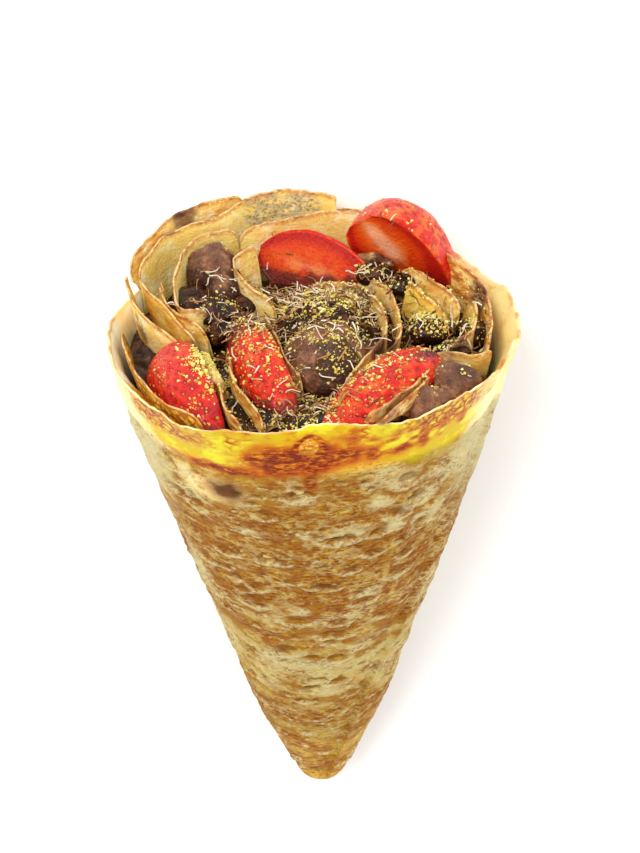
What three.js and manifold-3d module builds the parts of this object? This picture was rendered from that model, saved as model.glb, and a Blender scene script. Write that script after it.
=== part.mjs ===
// Crepe cone: a large crepe rolled into a pointed cone, packed with folded crepe sheets,
// strawberry halves, chocolate cream and a dark chocolate filling, and strewn with toasted
// kadaif shreds and pistachio crumbs. It cannot stand on its tip, so it lies on its back.
//
// Every piece is made in the cone's own frame and the whole is laid down at the end:
// the axis is Z, the mouth is in the plane z = 0 and the tip is below it, the side that
// faces up when the cone lies down is -Y and the side that it lies on is +Y.
// Lengths are millimetres.

import * as THREE from 'three'
import { mergeVertices } from 'three/addons/utils/BufferGeometryUtils.js'
import Module from 'manifold-3d'

const wasm = await Module()
wasm.setup()

// ---------------------------------------------------------------- driving dimensions

const mouthRadius = 56 // outside of the rolled crepe in the plane of the mouth
const coneLength = 182 // mouth to the sharp point that the rounded tip cuts short
const sideBulge = 0.755 // power of the side's curve; 1 is a straight cone
const tipRadius = 8.7
const tipDepth = 173.3
const wallThickness = 2.4 // two or three crepe layers pressed together
const lapStep = 1.6 // the outer flap stands this far above the layer it ends on
const seamAtMouth = THREE.MathUtils.degToRad(12)
const seamTwist = THREE.MathUtils.degToRad(-75)
const cavityDepth = 104 // below this the rolled layers fill the cone
const sheetThickness = 1.7
const sheetFoot = 22 // how deep the folded sheets are planted below the mouth
const clearance = 0.5 // left round each neighbour; 0.35 where two faces meet at an edge
const lieAngle = THREE.MathUtils.degToRad(15.75) // the axis rises by this towards the mouth
const floorAtMouth = 56.7 // from the axis down to the table, in the plane of the mouth
const balanceDepth = 48 // the centre of mass is this far below the mouth
const seamGap = 0.006 // share of a turn between the flap's edge and the layer below it
const rimRound = 0.9 // the rim is rounded over by this
const shredThickness = 1
const shredLengths = [8, 17]
const crumbRadii = [1, 1.8]
const wrapSides = 40
const fillingSides = 20

const turn = Math.PI * 2
const vector = (x, y, z) => new THREE.Vector3(x, y, z)

// ---------------------------------------------------------------- small helpers

// Repeatable random numbers from 0 to 1.
function seededRandom(seed) {
  let state = seed >>> 0
  return () => {
    state = (state + 0x6d2b79f5) >>> 0
    let mixed = Math.imul(state ^ (state >>> 15), 1 | state)
    mixed = (mixed + Math.imul(mixed ^ (mixed >>> 7), 61 | mixed)) ^ mixed
    return ((mixed ^ (mixed >>> 14)) >>> 0) / 4294967296
  }
}

// A smooth bump of height 1 at the middle angle, gone one and a half widths away.
function bump(angle, middle, width) {
  const away = Math.atan2(Math.sin(angle - middle), Math.cos(angle - middle))
  return Math.exp(-((away / width) ** 2) * 2)
}

// A blank is a closed skin of shared points, kept so that it can be swollen later.
function blankVolume({ points, faces }) {
  let volume = 0
  for (let face = 0; face < faces.length; face += 3) {
    const [a, b, c] = [points[faces[face]], points[faces[face + 1]], points[faces[face + 2]]]
    volume += a.dot(b.clone().cross(c)) / 6
  }
  return volume
}

// Skins a row of rings that have the same number of points, and closes both ends by
// zipping each end ring shut from its first and last point.
function loft(rings) {
  const count = rings[0].length
  const faces = []
  for (let ring = 0; ring < rings.length - 1; ring++) {
    for (let side = 0; side < count; side++) {
      const here = ring * count + side
      const next = ring * count + ((side + 1) % count)
      faces.push(here, next, next + count, here, next + count, here + count)
    }
  }
  const zip = (first, order) => {
    let low = 0
    let high = count - 1
    while (high - low > 1) {
      faces.push(...order(first + low, first + low + 1, first + high))
      low += 1
      if (high - low > 1) {
        faces.push(...order(first + low, first + high - 1, first + high))
        high -= 1
      }
    }
  }
  zip(0, (a, b, c) => [b, a, c])
  zip((rings.length - 1) * count, (a, b, c) => [a, b, c])
  const blank = { points: rings.flat(), faces }
  if (blankVolume(blank) < 0) {
    blank.faces.reverse()
  }
  return blank
}

// Turns a closed three.js geometry into a blank.
function blankFromGeometry(geometry) {
  geometry.deleteAttribute('normal')
  geometry.deleteAttribute('uv')
  const merged = mergeVertices(geometry, 1e-4)
  const positions = merged.attributes.position
  const points = []
  for (let index = 0; index < positions.count; index++) {
    points.push(new THREE.Vector3().fromBufferAttribute(positions, index))
  }
  return { points, faces: [...merged.index.array] }
}

// Moves every point of a blank outwards, square to the faces round it. Each face counts
// by its angle at the point, so that the narrow edge of a sheet moves out as its sides do.
function swell({ points, faces }, distance) {
  const normals = points.map(() => vector(0, 0, 0))
  for (let face = 0; face < faces.length; face += 3) {
    const corners = [faces[face], faces[face + 1], faces[face + 2]]
    const [a, b, c] = corners.map((index) => points[index])
    const square = b.clone().sub(a).cross(c.clone().sub(a)).normalize()
    corners.forEach((index, place) => {
      const before = points[corners[(place + 2) % 3]].clone().sub(points[index])
      const after = points[corners[(place + 1) % 3]].clone().sub(points[index])
      normals[index].addScaledVector(square, before.angleTo(after))
    })
  }
  const moved = points.map((point, index) =>
    point.clone().addScaledVector(normals[index].normalize(), distance))
  return { points: moved, faces }
}

function solidOf({ points, faces }) {
  const vertProperties = new Float32Array(points.flatMap((point) => point.toArray()))
  const triVerts = new Uint32Array(faces)
  return new wasm.Manifold(new wasm.Mesh({ numProp: 3, vertProperties, triVerts }))
}

const joined = (solids) => solids.reduce((whole, solid) => whole.add(solid))

// Cutting can leave loose scraps; only the largest body is the piece.
function largestBody(solid) {
  const bodies = solid.decompose()
  return bodies.reduce((best, body) => (body.volume() > best.volume() ? body : best))
}

function geometryOf(solid) {
  const mesh = solid.getMesh()
  const geometry = new THREE.BufferGeometry()
  geometry.setAttribute('position', new THREE.BufferAttribute(mesh.vertProperties, 3))
  geometry.setIndex(new THREE.BufferAttribute(mesh.triVerts, 1))
  geometry.computeVertexNormals()
  return geometry
}

// ---------------------------------------------------------------- the cone's own form

// The table that the cone lies on, as a distance behind the axis at height z.
const floorBehind = (z) => floorAtMouth + z * Math.tan(lieAngle)

// Radius of the smooth cone at a depth below the mouth, with its round tip.
function coneRadius(depth) {
  const side = mouthRadius * Math.max(1 - depth / coneLength, 0) ** sideBulge
  const past = depth - (tipDepth - tipRadius)
  if (past <= 0) {
    return side
  }
  return Math.min(side, Math.sqrt(Math.max(tipRadius ** 2 - past ** 2, 0)))
}

// Angle of the outer flap's edge: behind the right side at the mouth, and wound round
// to the front at the tip.
const seamAngle = (depth) => seamAtMouth + seamTwist * (depth / tipDepth) ** 1.2

// Share of a turn from the seam, which sets how far the flap still lies above the rest.
const lapHeight = (share) => lapStep * (0.5 - share)

// The roll is hand made: it swells and sinks gently round and along the cone.
function handMade(angle, depth) {
  const fade = Math.min(1, (tipDepth - depth) / 60)
  const round = 0.45 * Math.sin(2 * angle + depth / 23) + 0.3 * Math.sin(5 * angle - depth / 13)
  return (round + 0.25 * Math.sin(depth / 9 + 2 * Math.sin(angle))) * fade
}

// The free edge at the mouth flares and waves.
function mouthFlare(angle, depth) {
  const reach = Math.exp(-Math.max(depth, 0) / 11)
  const leftFlare = 3.4 * bump(angle, -2.1, 0.5) - 3.6 * bump(angle, 2.75, 0.36)
  const rightFlare = 1.6 * bump(angle, -0.95, 0.45) + 2.6 * bump(angle, -0.3, 0.5)
  const frontDip = -0.9 * bump(angle, -1.6, 0.4)
  return (leftFlare + rightFlare + frontDip + 0.35 * Math.sin(9 * angle)) * reach
}

// Height of the rim round the mouth: low in front, higher at the back.
function rimHeight(angle) {
  const ripple = 0.5 * Math.sin(7 * angle + 0.6) + 0.35 * Math.sin(12 * angle)
  return ripple - 0.3 + 3.2 * bump(angle, Math.PI / 2, 0.9)
}

// A point on the wrap, kept above the table: where the cone lies, it is pressed flat.
function wrapPoint(angle, radius, z, inset) {
  const y = Math.min(radius * Math.sin(angle), floorBehind(z) - inset)
  return vector(radius * Math.cos(angle), y, z)
}

// Inside of the wrap's wall; above the mouth it runs on with the cone's slope.
const wallInside = (depth) => coneRadius(depth) - wallThickness
const mouthSlope = (sideBulge * mouthRadius) / coneLength
const spread = (z) => (z < 0 ? wallInside(-z) : wallInside(0) + z * mouthSlope)

function wrapBlank() {
  const shares = Array.from({ length: wrapSides }, (_, side) => side * ((1 - seamGap) / (wrapSides - 1)))
  const ring = (depth, pointAt) => shares.map((share) => pointAt(seamAngle(depth) + turn * share, share))
  const outside = (depth) =>
    ring(depth, (angle, share) => {
      const radius = coneRadius(depth) + lapHeight(share) * Math.min(1, (tipDepth - depth) / 12)
        + handMade(angle, depth) + mouthFlare(angle, depth)
      return wrapPoint(angle, radius, -depth, 0)
    })
  const rim = (inset, drop) =>
    ring(0, (angle, share) => {
      const height = rimHeight(angle) - drop
      const radius = mouthRadius + height * mouthSlope + lapHeight(share)
        + handMade(angle, 0) + mouthFlare(angle, 0) - inset
      return wrapPoint(angle, radius, height, inset)
    })
  const inside = (depth) =>
    ring(depth, (angle) => {
      const radius = wallInside(depth) + mouthFlare(angle, depth) * 0.8
      return wrapPoint(angle, radius, -depth, wallThickness)
    })
  const outsideDepths = [172.6, 170, 165, 156, 143, 128, 112, 96, 80, 64, 49, 35, 22, 11, 4]
  const insideDepths = [3, 12, 36, 70, cavityDepth]
  return loft([
    ...outsideDepths.map(outside),
    rim(0, rimRound * 0.75),
    rim(rimRound, 0),
    rim(wallThickness - 0.5, rimRound * 0.5),
    ...insideDepths.map(inside),
  ])
}

// The dark filling takes up the cavity; its top is uneven, with a mound behind the middle.
function fillingTop(x, y) {
  const mound = 8.5 * Math.exp(-((x - 4) ** 2 + (y - 10) ** 2) / 300)
  return mound - 6.5 + 1.2 * Math.sin(x / 6 + 1) * Math.cos(y / 7)
}

function fillingBlank() {
  const angles = Array.from({ length: fillingSides }, (_, side) => (side / fillingSides) * turn)
  const inset = clearance + 0.4
  const onWall = (angle, depth, share) => {
    const pinched = Math.min(0, mouthFlare(angle, depth))
    const radius = (wallInside(depth) + pinched - inset) * share
    return wrapPoint(angle, radius, -depth, wallThickness + inset)
  }
  const sideRing = (depth) => angles.map((angle) => onWall(angle, depth, 1))
  const topRing = (share) =>
    angles.map((angle) => {
      const point = onWall(angle, 8, share)
      return point.setZ(fillingTop(point.x, point.y))
    })
  return loft([
    ...[cavityDepth - inset, 64, 30, 13].map(sideRing),
    ...[0.985, 0.72, 0.4].map(topRing),
  ])
}

// ---------------------------------------------------------------- folded crepe sheets

// A sheet stands on edge in the filling. Its upper edge runs through the points [x, y, z]
// and its foot lies below, drawn in towards the axis as the cone narrows. A fourth number
// in a point is the depth of the foot there.
function sheetBlank(edge, { thickness = sheetThickness, steps = 6, sway = 0.5, taper = 1 } = {}) {
  const line = new THREE.CatmullRomCurve3(
    edge.map(([x, y, z]) => vector(x, y, z)), false, 'centripetal')
  const footAt = (share) => {
    const place = share * (edge.length - 1)
    const index = Math.min(Math.floor(place), edge.length - 2)
    const [before, after] = [edge[index][3] ?? sheetFoot, edge[index + 1][3] ?? sheetFoot]
    return THREE.MathUtils.lerp(before, after, place - index)
  }
  const rings = []
  for (let step = 0; step <= steps; step++) {
    const share = step / steps
    const top = line.getPoint(share)
    const along = line.getTangent(share)
    const across = vector(-along.y, along.x, 0).normalize()
    const foot = -footAt(share)
    const wave = sway * Math.sin(share * 7 + edge[0][0])
    const at = (height, aside) => {
      const z = THREE.MathUtils.lerp(foot, top.z, height)
      const drawnIn = (spread(z) / spread(top.z)) ** taper
      const lean = wave * height
      return vector(top.x * drawnIn, top.y * drawnIn, z).addScaledVector(across, aside + lean)
    }
    const half = thickness / 2
    const crest = at(1, 0)
    crest.z += thickness * 0.3
    rings.push([at(0, half), at(1, half), crest, at(1, -half), at(0, -half)])
  }
  return loft(rings)
}

const sheets = {
  // Tall flaps at the back, which stand well above the rim.
  crepe_flap_back_outer: [
    [[-50.6, 20.3, 9, 8], [-44.8, 30.1, 12.2, 12], [-39.3, 37.4, 14.4, 12], [-33, 42.9, 15.2, 12],
      [-26, 46.3, 15.6, 12], [-18.7, 49, 15, 12]],
    { thickness: 1.4, taper: 0.5, sway: 0.15, steps: 8 },
  ],
  crepe_flap_back_inner: [
    [[-47.8, 17.8, 7.5], [-41.4, 32.2, 10.6], [-33.9, 37.2, 11.5], [-27.6, 40.5, 12],
      [-16.6, 48, 15.2], [-9.1, 50, 15.8], [-0.2, 50.4, 15.3], [8.9, 48.4, 13.8]],
    { thickness: 1.4, taper: 0.5, sway: 0.15, steps: 11 },
  ],
  crepe_layer_back: [
    [[-20, 36.5, 9.5], [-5, 42.5, 10.5], [10.5, 45.3, 11.5], [22, 42.5, 11], [33, 35.5, 9]],
    { steps: 8 },
  ],
  crepe_layer_right: [
    [[36, 29, 8], [43, 19, 6.6], [48.2, 8, 3.6], [50, -5, 1.4], [48.4, -16, 0.7]],
    { steps: 10 },
  ],
  // The curl that goes round the left chocolate cream.
  crepe_curl_left: [
    [[-20.5, 38, 9.5], [-31, 33.5, 9.5], [-37.2, 22, 8], [-38, 9.5, 5], [-34.5, 0, 4],
      [-27.5, 1.6, 2.5]],
    { steps: 10 },
  ],
  // Edges that lie side by side like pages at the left.
  crepe_sheet_left_1: [[[-51, 15.5, 7.5], [-49.6, 4.5, 6], [-43.8, -5, 4.5], [-34, -14.6, 1.5]]],
  crepe_sheet_left_2: [[[-45.8, 12, 8], [-43, 4, 6.5], [-38.8, -1.6, 4.8], [-30.5, -11.5, 1.5]]],
  crepe_sheet_left_3: [[[-42.3, 9.5, 7], [-39.8, 3.5, 5.8], [-35.8, -2.6, 4.4], [-28, -8, 1.5]]],
  crepe_sheet_middle: [
    [[-14.5, 30.5, 8], [-21.5, 23, 7.5], [-18.5, 13, 5.5], [-9.5, 4.5, 3.5]],
  ],
  // Thin layers that wind round the chocolate cream in the middle.
  crepe_ring_inner: [
    [[1, 17, 2], [12, 15.8, 2], [19.8, 8, 1.6], [21.6, -5, 1.2], [17.4, -17, 0.6], [9, -30, -1]],
    { steps: 9 },
  ],
  crepe_ring_outer: [
    [[14, 20.5, 2.6], [22.4, 13.4, 2], [25.4, 1.5, 1.6], [24, -9, 0.8], [19.5, -18, 0]],
    { steps: 10 },
  ],
  crepe_ring_left: [[[-12.6, 2, 1.6], [-10.2, -7.5, 0.8], [-6.2, -19, 0], [-2.5, -30, -1.5]]],
  // Broad folds at the right.
  crepe_fold_right_1: [
    [[26.2, 20, 5], [32.5, 14, 5.2], [38.2, 6.5, 4.6], [41.4, -0.5, 3.4]],
    { thickness: 2.2 },
  ],
  crepe_fold_right_2: [
    [[44.6, 7, 2.6], [46, -3, 2], [44.4, -11.5, 1.4], [38.2, -14.6, 0.6]],
    { thickness: 2 },
  ],
  crepe_fold_right_3: [
    [[27.6, 12, 4.6], [30.8, 8.2, 4.2], [34.4, 2, 3], [38, -5, 1.4]],
    { thickness: 2 },
  ],
  crepe_fold_right_4: [[[49.2, -19, 0.8], [44.2, -21.2, 0.8], [37.4, -19.6, 0.4], [31, -20.4, -0.4]]],
  // Folds laid over the rim in front, at the right.
  crepe_lap_front_1: [
    [[32.2, -26.4, 0.6, 16], [26.4, -36.6, 1.2, 12], [19.6, -46.8, 2.2, 4], [13.6, -55.2, 3.4, -1.7]],
    { sway: 0.2 },
  ],
  crepe_lap_front_2: [
    [[31.6, -31.6, 0.2, 14], [26.8, -40.4, 1, 8], [22, -48.4, 2.2, 1], [17, -56.2, 3.2, -1.5]],
    { sway: 0.2 },
  ],
  // Sheets packed in front, at the left.
  crepe_sheet_front_1: [[[-22, -18, 0.6], [-20.2, -27.5, -0.4], [-16.4, -38, -1.6], [-12.5, -47.5, -2]]],
  crepe_sheet_front_2: [[[-25.4, -30, 0], [-22.6, -39, -1], [-18, -48.2, -1.8]]],
  crepe_crumbed: [
    [[-29.2, -17, 0.4], [-26.8, -24, 0], [-24, -31, -1]],
    { thickness: 6, steps: 5, sway: 0.1 },
  ],
  // The second layer of the rolled crepe, which comes away from the wall at the left.
  crepe_lip_left: [
    [[-50.8, -3, 0.2], [-49.2, -16, 0.4], [-45.6, -28, 0.6], [-38.4, -40, 1], [-28, -49.6, 1]],
    { steps: 9, thickness: 1.4 },
  ],
  crepe_roll_back: [[[11, 27.5, 3.5], [19, 27.2, 5], [24.6, 22.4, 4.6]], { thickness: 4 }],
}

// ---------------------------------------------------------------- strawberries

// Half a strawberry, cut lengthwise: a flat face and a domed skin. The middle is on the
// cut face. toTip points from the stalk end to the tip, cutFacing away from the flesh.
// A low blunt value gives square shoulders, 0.72 a pointed berry.
function berryBlank({ middle, toTip, cutFacing, length, width, depth, blunt = 0.72 }) {
  const along = vector(...toTip).normalize()
  const out = vector(...cutFacing)
  out.addScaledVector(along, -out.dot(along)).normalize()
  const across = out.clone().cross(along)
  const domePoints = 8
  const cutShares = [-0.55, 0.55]
  const shares = [0.012, 0.09, 0.25, 0.44, 0.63, 0.8, 0.92, 0.988]
  const rings = shares.map((share) => {
    const swellOut = Math.sin(Math.PI * share ** 1.3) ** blunt
    const [half, dome] = [(width / 2) * swellOut, depth * swellOut ** 0.85]
    const at = (aside, raised) =>
      vector(...middle)
        .addScaledVector(along, length * (0.5 - share))
        .addScaledVector(across, aside)
        .addScaledVector(out, -raised)
    const skin = Array.from({ length: domePoints }, (_, index) => {
      const angle = (index / (domePoints - 1)) * Math.PI
      return at(half * Math.cos(angle), dome * Math.sin(angle) ** 0.7)
    })
    const cut = cutShares.map((aside) => at(half * aside, -0.5 * swellOut))
    return [...skin, ...cut]
  })
  return loft(rings)
}

const berries = {
  strawberry_left: {
    middle: [-29, -28.4, -8], toTip: [0.34, -0.94, -0.1], cutFacing: [0.94, 0.34, -0.12],
    length: 41, width: 23, depth: 12.5, blunt: 0.36,
  },
  strawberry_middle: {
    middle: [-10.8, -17, -7.5], toTip: [-0.32, 0.92, 0.24], cutFacing: [0.93, 0.3, -0.12],
    length: 45, width: 22, depth: 11, blunt: 0.38,
  },
  strawberry_right: {
    middle: [18, -33.8, -9], toTip: [-0.69, -0.73, -0.1], cutFacing: [0.5, -0.3, -0.8],
    length: 47, width: 22, depth: 11.5, blunt: 0.34,
  },
  strawberry_back: {
    middle: [4, 26.4, 0.6], toTip: [0.9, -0.4, -0.15], cutFacing: [-0.3, -0.86, 0.35],
    length: 41, width: 21, depth: 9, blunt: 0.6,
  },
  strawberry_tall: {
    middle: [27.6, 24.4, 2.6], toTip: [0.67, -0.04, -0.82], cutFacing: [-0.53, -0.97, -0.25],
    length: 38.7, width: 25, depth: 16.8, blunt: 0.34,
  },
}

// ---------------------------------------------------------------- chocolate cream

// A soft lump of chocolate cream: a ball drawn out to its radii, with a few dents.
function creamBlank(middle, radii, phase, detail = 1) {
  const geometry = new THREE.IcosahedronGeometry(1, detail)
  const blank = blankFromGeometry(geometry)
  for (const point of blank.points) {
    const dents = 0.05 * Math.sin(5 * point.x + phase) + 0.05 * Math.sin(6 * point.y - 2 * point.z + phase)
    point.multiplyScalar(1 + dents).multiply(vector(...radii)).add(vector(...middle))
  }
  return blank
}

const creams = {
  chocolate_cream_left: [
    creamBlank([-27, 25.5, 0], [8.4, 9, 9.5], 0.4),
    creamBlank([-24.5, 15.5, -2.5], [6, 6, 8], 1.9),
  ],
  chocolate_cream_middle: [creamBlank([4.6, -14, -5], [11.6, 13.6, 8.5], 0.9, 2)],
  chocolate_cream_right: [
    creamBlank([37, -29.5, -6.5], [7.4, 8, 8.5], 2.6),
    creamBlank([30, -38.4, -7.5], [7, 8.6, 8], 3.8),
  ],
}

// ---------------------------------------------------------------- toppings

// A kadaif shred: a thin crisp noodle, bent, that lies across the spot and lifts at its ends.
function shredBlank(spot, normal, random) {
  const length = THREE.MathUtils.lerp(...shredLengths, random())
  const half = shredThickness / 2
  const heading = random() * turn
  const side = vector(Math.cos(heading), Math.sin(heading), 0)
  const along = side.addScaledVector(normal, -side.dot(normal)).normalize()
  const bend = along.clone().cross(normal)
  const curve = (random() - 0.5) * 0.5 * length
  const lift = (0.12 + 0.2 * random()) * length
  const rings = [-0.5, -0.17, 0.17, 0.5].map((share) => {
    const centre = spot.clone()
      .addScaledVector(along, share * length)
      .addScaledVector(bend, curve * (share * share - 0.1))
      .addScaledVector(normal, 0.1 + lift * Math.max(share, -0.1) * 0.9)
    return [[1, 1], [-1, 1], [-1, -1], [1, -1]].map(([aside, up]) =>
      centre.clone().addScaledVector(bend, aside * half).addScaledVector(normal, up * half))
  })
  return loft(rings)
}

// A pistachio crumb: an uneven little block with twenty faces, half sunk in.
function crumbBlank(spot, normal, random) {
  const blank = blankFromGeometry(new THREE.IcosahedronGeometry(1, 0))
  const radius = THREE.MathUtils.lerp(...crumbRadii, random())
  const squash = vector(0.8 + 0.5 * random(), 0.8 + 0.5 * random(), 0.7 + 0.3 * random())
  for (const point of blank.points) {
    point.multiply(squash).multiplyScalar(radius).add(spot).addScaledVector(normal, radius * 0.25)
  }
  return blank
}

// Faces of a solid that look up out of the mouth, with their running total of area.
function openFaces(solid, lowest) {
  const { vertProperties, triVerts } = solid.getMesh()
  const corner = (index) => new THREE.Vector3().fromArray(vertProperties, triVerts[index] * 3)
  const found = []
  let total = 0
  for (let face = 0; face < triVerts.length; face += 3) {
    const triangle = new THREE.Triangle(corner(face), corner(face + 1), corner(face + 2))
    const normal = triangle.getNormal(vector(0, 0, 0))
    const middle = triangle.getMidpoint(vector(0, 0, 0))
    if (normal.z > 0.25 && middle.z > lowest) {
      total += triangle.getArea()
      found.push({ triangle, normal, total })
    }
  }
  return found
}

// A random spot on the faces found, evenly by area.
function randomSpot(faces, random) {
  const wanted = random() * faces[faces.length - 1].total
  const { triangle, normal } = faces.find((face) => face.total >= wanted)
  let [u, v] = [random(), random()]
  if (u + v > 1) {
    [u, v] = [1 - u, 1 - v]
  }
  const spot = triangle.a.clone().multiplyScalar(1 - u - v)
    .addScaledVector(triangle.b, u).addScaledVector(triangle.c, v)
  return { spot, normal }
}

// ---------------------------------------------------------------- putting it together

const pieces = []

// Adds a piece, cut clear of everything that was placed before it.
function place(name, finish, blanks) {
  const whole = joined(blanks.map(solidOf))
  const free = pieces.length ? whole.subtract(joined(pieces.map((piece) => piece.bulk))) : whole
  const bulk = joined(blanks.map((blank) => solidOf(swell(blank, clearance))))
  pieces.push({ name, finish, body: largestBody(free), bulk })
}

// Fuses shreds and crumbs to a piece, clear of each other and of all the other pieces.
function strew(name, { shreds, crumbs, seed, lowest = -14 }) {
  const piece = pieces.find((candidate) => candidate.name === name)
  const random = seededRandom(seed)
  const faces = openFaces(piece.body, lowest)
  let taken = joined(pieces.filter((other) => other !== piece).map((other) => other.bulk))
  const added = []
  const lay = (makeBlank, count) => {
    for (let made = 0, tries = 0; made < count && tries < count * 15; tries++) {
      const { spot, normal } = randomSpot(faces, random)
      const blank = makeBlank(spot, normal, random)
      const solid = solidOf(blank)
      if (solid.intersect(taken).isEmpty()) {
        added.push(blank)
        taken = taken.add(solid)
        made += 1
      }
    }
  }
  lay(shredBlank, shreds)
  lay(crumbBlank, crumbs)
  if (added.length) {
    piece.body = largestBody(joined([piece.body, ...added.map(solidOf)]))
    piece.bulk = joined([piece.bulk, ...added.map((blank) => solidOf(swell(blank, clearance)))])
  }
}

const finishes = {
  crepe: { color: 0xd2b060, roughness: 0.62 },
  sheet: { color: 0xdcbc78, roughness: 0.6 },
  berry: { color: 0xd4261a, roughness: 0.3 },
  cream: { color: 0x5c3f38, roughness: 0.55 },
  filling: { color: 0x38201a, roughness: 0.35 },
}

place('crepe_wrap', 'crepe', [wrapBlank()])
for (const [name, berry] of Object.entries(berries)) {
  place(name, 'berry', [berryBlank(berry)])
}
for (const [name, lumps] of Object.entries(creams)) {
  place(name, 'cream', lumps)
}
for (const [name, [edge, options]] of Object.entries(sheets)) {
  place(name, 'sheet', [sheetBlank(edge, options)])
}
place('filling', 'filling', [fillingBlank()])

strew('filling', { shreds: 7, crumbs: 6, seed: 11 })
strew('chocolate_cream_middle', { shreds: 4, crumbs: 7, seed: 12 })
strew('strawberry_middle', { shreds: 2, crumbs: 4, seed: 13, lowest: -4 })
strew('strawberry_left', { shreds: 0, crumbs: 5, seed: 14, lowest: -4 })
strew('strawberry_right', { shreds: 1, crumbs: 4, seed: 15, lowest: -4 })
strew('crepe_crumbed', { shreds: 0, crumbs: 6, seed: 16, lowest: -4 })

// The cone is laid on its back: its mouth points along +Y and a little up, and the flat
// spot under its centre of mass is at the origin, on the table.
const cone = new THREE.Group()
cone.rotation.x = lieAngle - Math.PI / 2
const axisHeight = floorAtMouth * Math.cos(lieAngle)
cone.position.set(0, balanceDepth * Math.cos(lieAngle), axisHeight)
for (const { name, finish, body } of pieces) {
  const mesh = new THREE.Mesh(geometryOf(body), new THREE.MeshStandardMaterial(finishes[finish]))
  mesh.name = name
  cone.add(mesh)
}

const part = new THREE.Group()
part.add(cone)
part.updateMatrixWorld(true)

export default part
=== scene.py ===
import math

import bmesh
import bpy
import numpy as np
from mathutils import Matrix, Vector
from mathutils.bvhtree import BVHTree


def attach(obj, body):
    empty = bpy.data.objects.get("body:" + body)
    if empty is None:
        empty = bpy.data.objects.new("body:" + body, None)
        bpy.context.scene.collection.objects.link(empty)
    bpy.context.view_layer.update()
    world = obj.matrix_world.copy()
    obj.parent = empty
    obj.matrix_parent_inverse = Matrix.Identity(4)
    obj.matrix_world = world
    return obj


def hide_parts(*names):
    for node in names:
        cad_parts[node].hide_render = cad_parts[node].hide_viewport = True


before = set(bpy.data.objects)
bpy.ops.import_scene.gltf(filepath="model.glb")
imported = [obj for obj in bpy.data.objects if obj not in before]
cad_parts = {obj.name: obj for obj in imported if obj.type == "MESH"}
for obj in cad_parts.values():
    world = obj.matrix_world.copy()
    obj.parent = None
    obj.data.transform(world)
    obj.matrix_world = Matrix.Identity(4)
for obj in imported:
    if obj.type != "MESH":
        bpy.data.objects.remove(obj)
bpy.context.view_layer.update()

# Crepe cone: a browned crepe rolled into a cone and packed with folded crepe sheets,
# strawberry halves, chocolate cream and dark chocolate, strewn with toasted kadaif shreds
# and pistachio crumbs. It lies on its back on a pale table.
#
# Shapes are worked out in the cone's own frame, in millimetres: the axis is Z, the mouth is
# the plane z = 0 with the tip below it, and -Y is the side that faces up on the table.
# laid() turns such points to the table's frame in metres.

# ---------------------------------------------------------------- sizes, as in the solids

MM = 0.001
TURN = 2 * math.pi
LIE_ANGLE = math.radians(15.75)
FLOOR_AT_MOUTH = 56.7
BALANCE_DEPTH = 48.0
MOUTH_RADIUS = 56.0
CONE_LENGTH = 182.0
SIDE_BULGE = 0.755
TIP_RADIUS = 8.7
TIP_DEPTH = 173.3
WALL = 2.4
LAP_STEP = 1.6
SEAM_AT_MOUTH = math.radians(12)
SEAM_TWIST = math.radians(-75)
SEAM_GAP = 0.006
CAVITY_DEPTH = 104.0
SHEET_THICKNESS = 1.7
SHEET_FOOT = 22.0
MOUTH_SLOPE = SIDE_BULGE * MOUTH_RADIUS / CONE_LENGTH

random = np.random.default_rng(37)


# ---------------------------------------------------------------- small helpers


def laid(points):
    """Points of the cone's frame in millimetres, laid down in the table's frame in metres."""
    x, y, z = np.asarray(points, float).T
    s, c = math.sin(LIE_ANGLE), math.cos(LIE_ANGLE)
    along = y * s + z * c + BALANCE_DEPTH * c
    return np.stack([x, along, -y * c + z * s + FLOOR_AT_MOUTH * c], axis=-1) * MM


def ramp(value, low, high):
    """0 below low, 1 above high, and smooth between them; low may be the greater one."""
    t = np.clip((np.asarray(value, float) - low) / (high - low), 0, 1)
    return t * t * (3 - 2 * t)


def bell(value, middle, width):
    """1 at the middle, falling smoothly away over the width to either side."""
    return np.exp(-(((np.asarray(value, float) - middle) / width) ** 2))


def lattice(x, y, z, seed):
    """The same random number from 0 to 1 each time for a point of a grid."""
    mixed = (x * 374761393 + y * 668265263 + z * 1103515245 + seed * 1274126177) & 0xFFFFFFFF
    mixed = ((mixed ^ (mixed >> 13)) * 1274126177) & 0xFFFFFFFF
    return ((mixed ^ (mixed >> 16)) & 0xFFFF) / 65535


def uneven(points, size, seed=0):
    """Smooth noise from -1 to 1 whose swells are of the given size."""
    spots = np.asarray(points, float) / size
    cell = np.floor(spots).astype(np.int64)
    part = spots - cell
    part = part * part * (3 - 2 * part)
    total = np.zeros(len(spots))
    for corner in range(8):
        step = np.array([corner & 1, corner >> 1 & 1, corner >> 2 & 1])
        weight = np.prod(np.where(step, part, 1 - part), axis=1)
        total += weight * lattice(*(cell + step).T, seed)
    return total * 2 - 1


def bubble_walls(points, size, seed):
    """1 on the walls between bubbles of about the given size, and 0 inside them."""
    spots = np.asarray(points, float) / size
    cell = np.floor(spots).astype(np.int64)
    near = np.full((2, len(spots)), 9.0)
    for corner in range(27):
        step = np.array([corner % 3, corner // 3 % 3, corner // 9]) - 1
        home = (cell + step).T
        seat = np.stack([lattice(*home, seed + axis) for axis in range(3)], axis=-1)
        away = np.linalg.norm(cell + step + seat - spots, axis=1)
        near[1] = np.minimum(near[1], np.maximum(near[0], away))
        near[0] = np.minimum(near[0], away)
    return 1 - ramp(near[1] - near[0], 0.0, 0.42)


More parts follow.
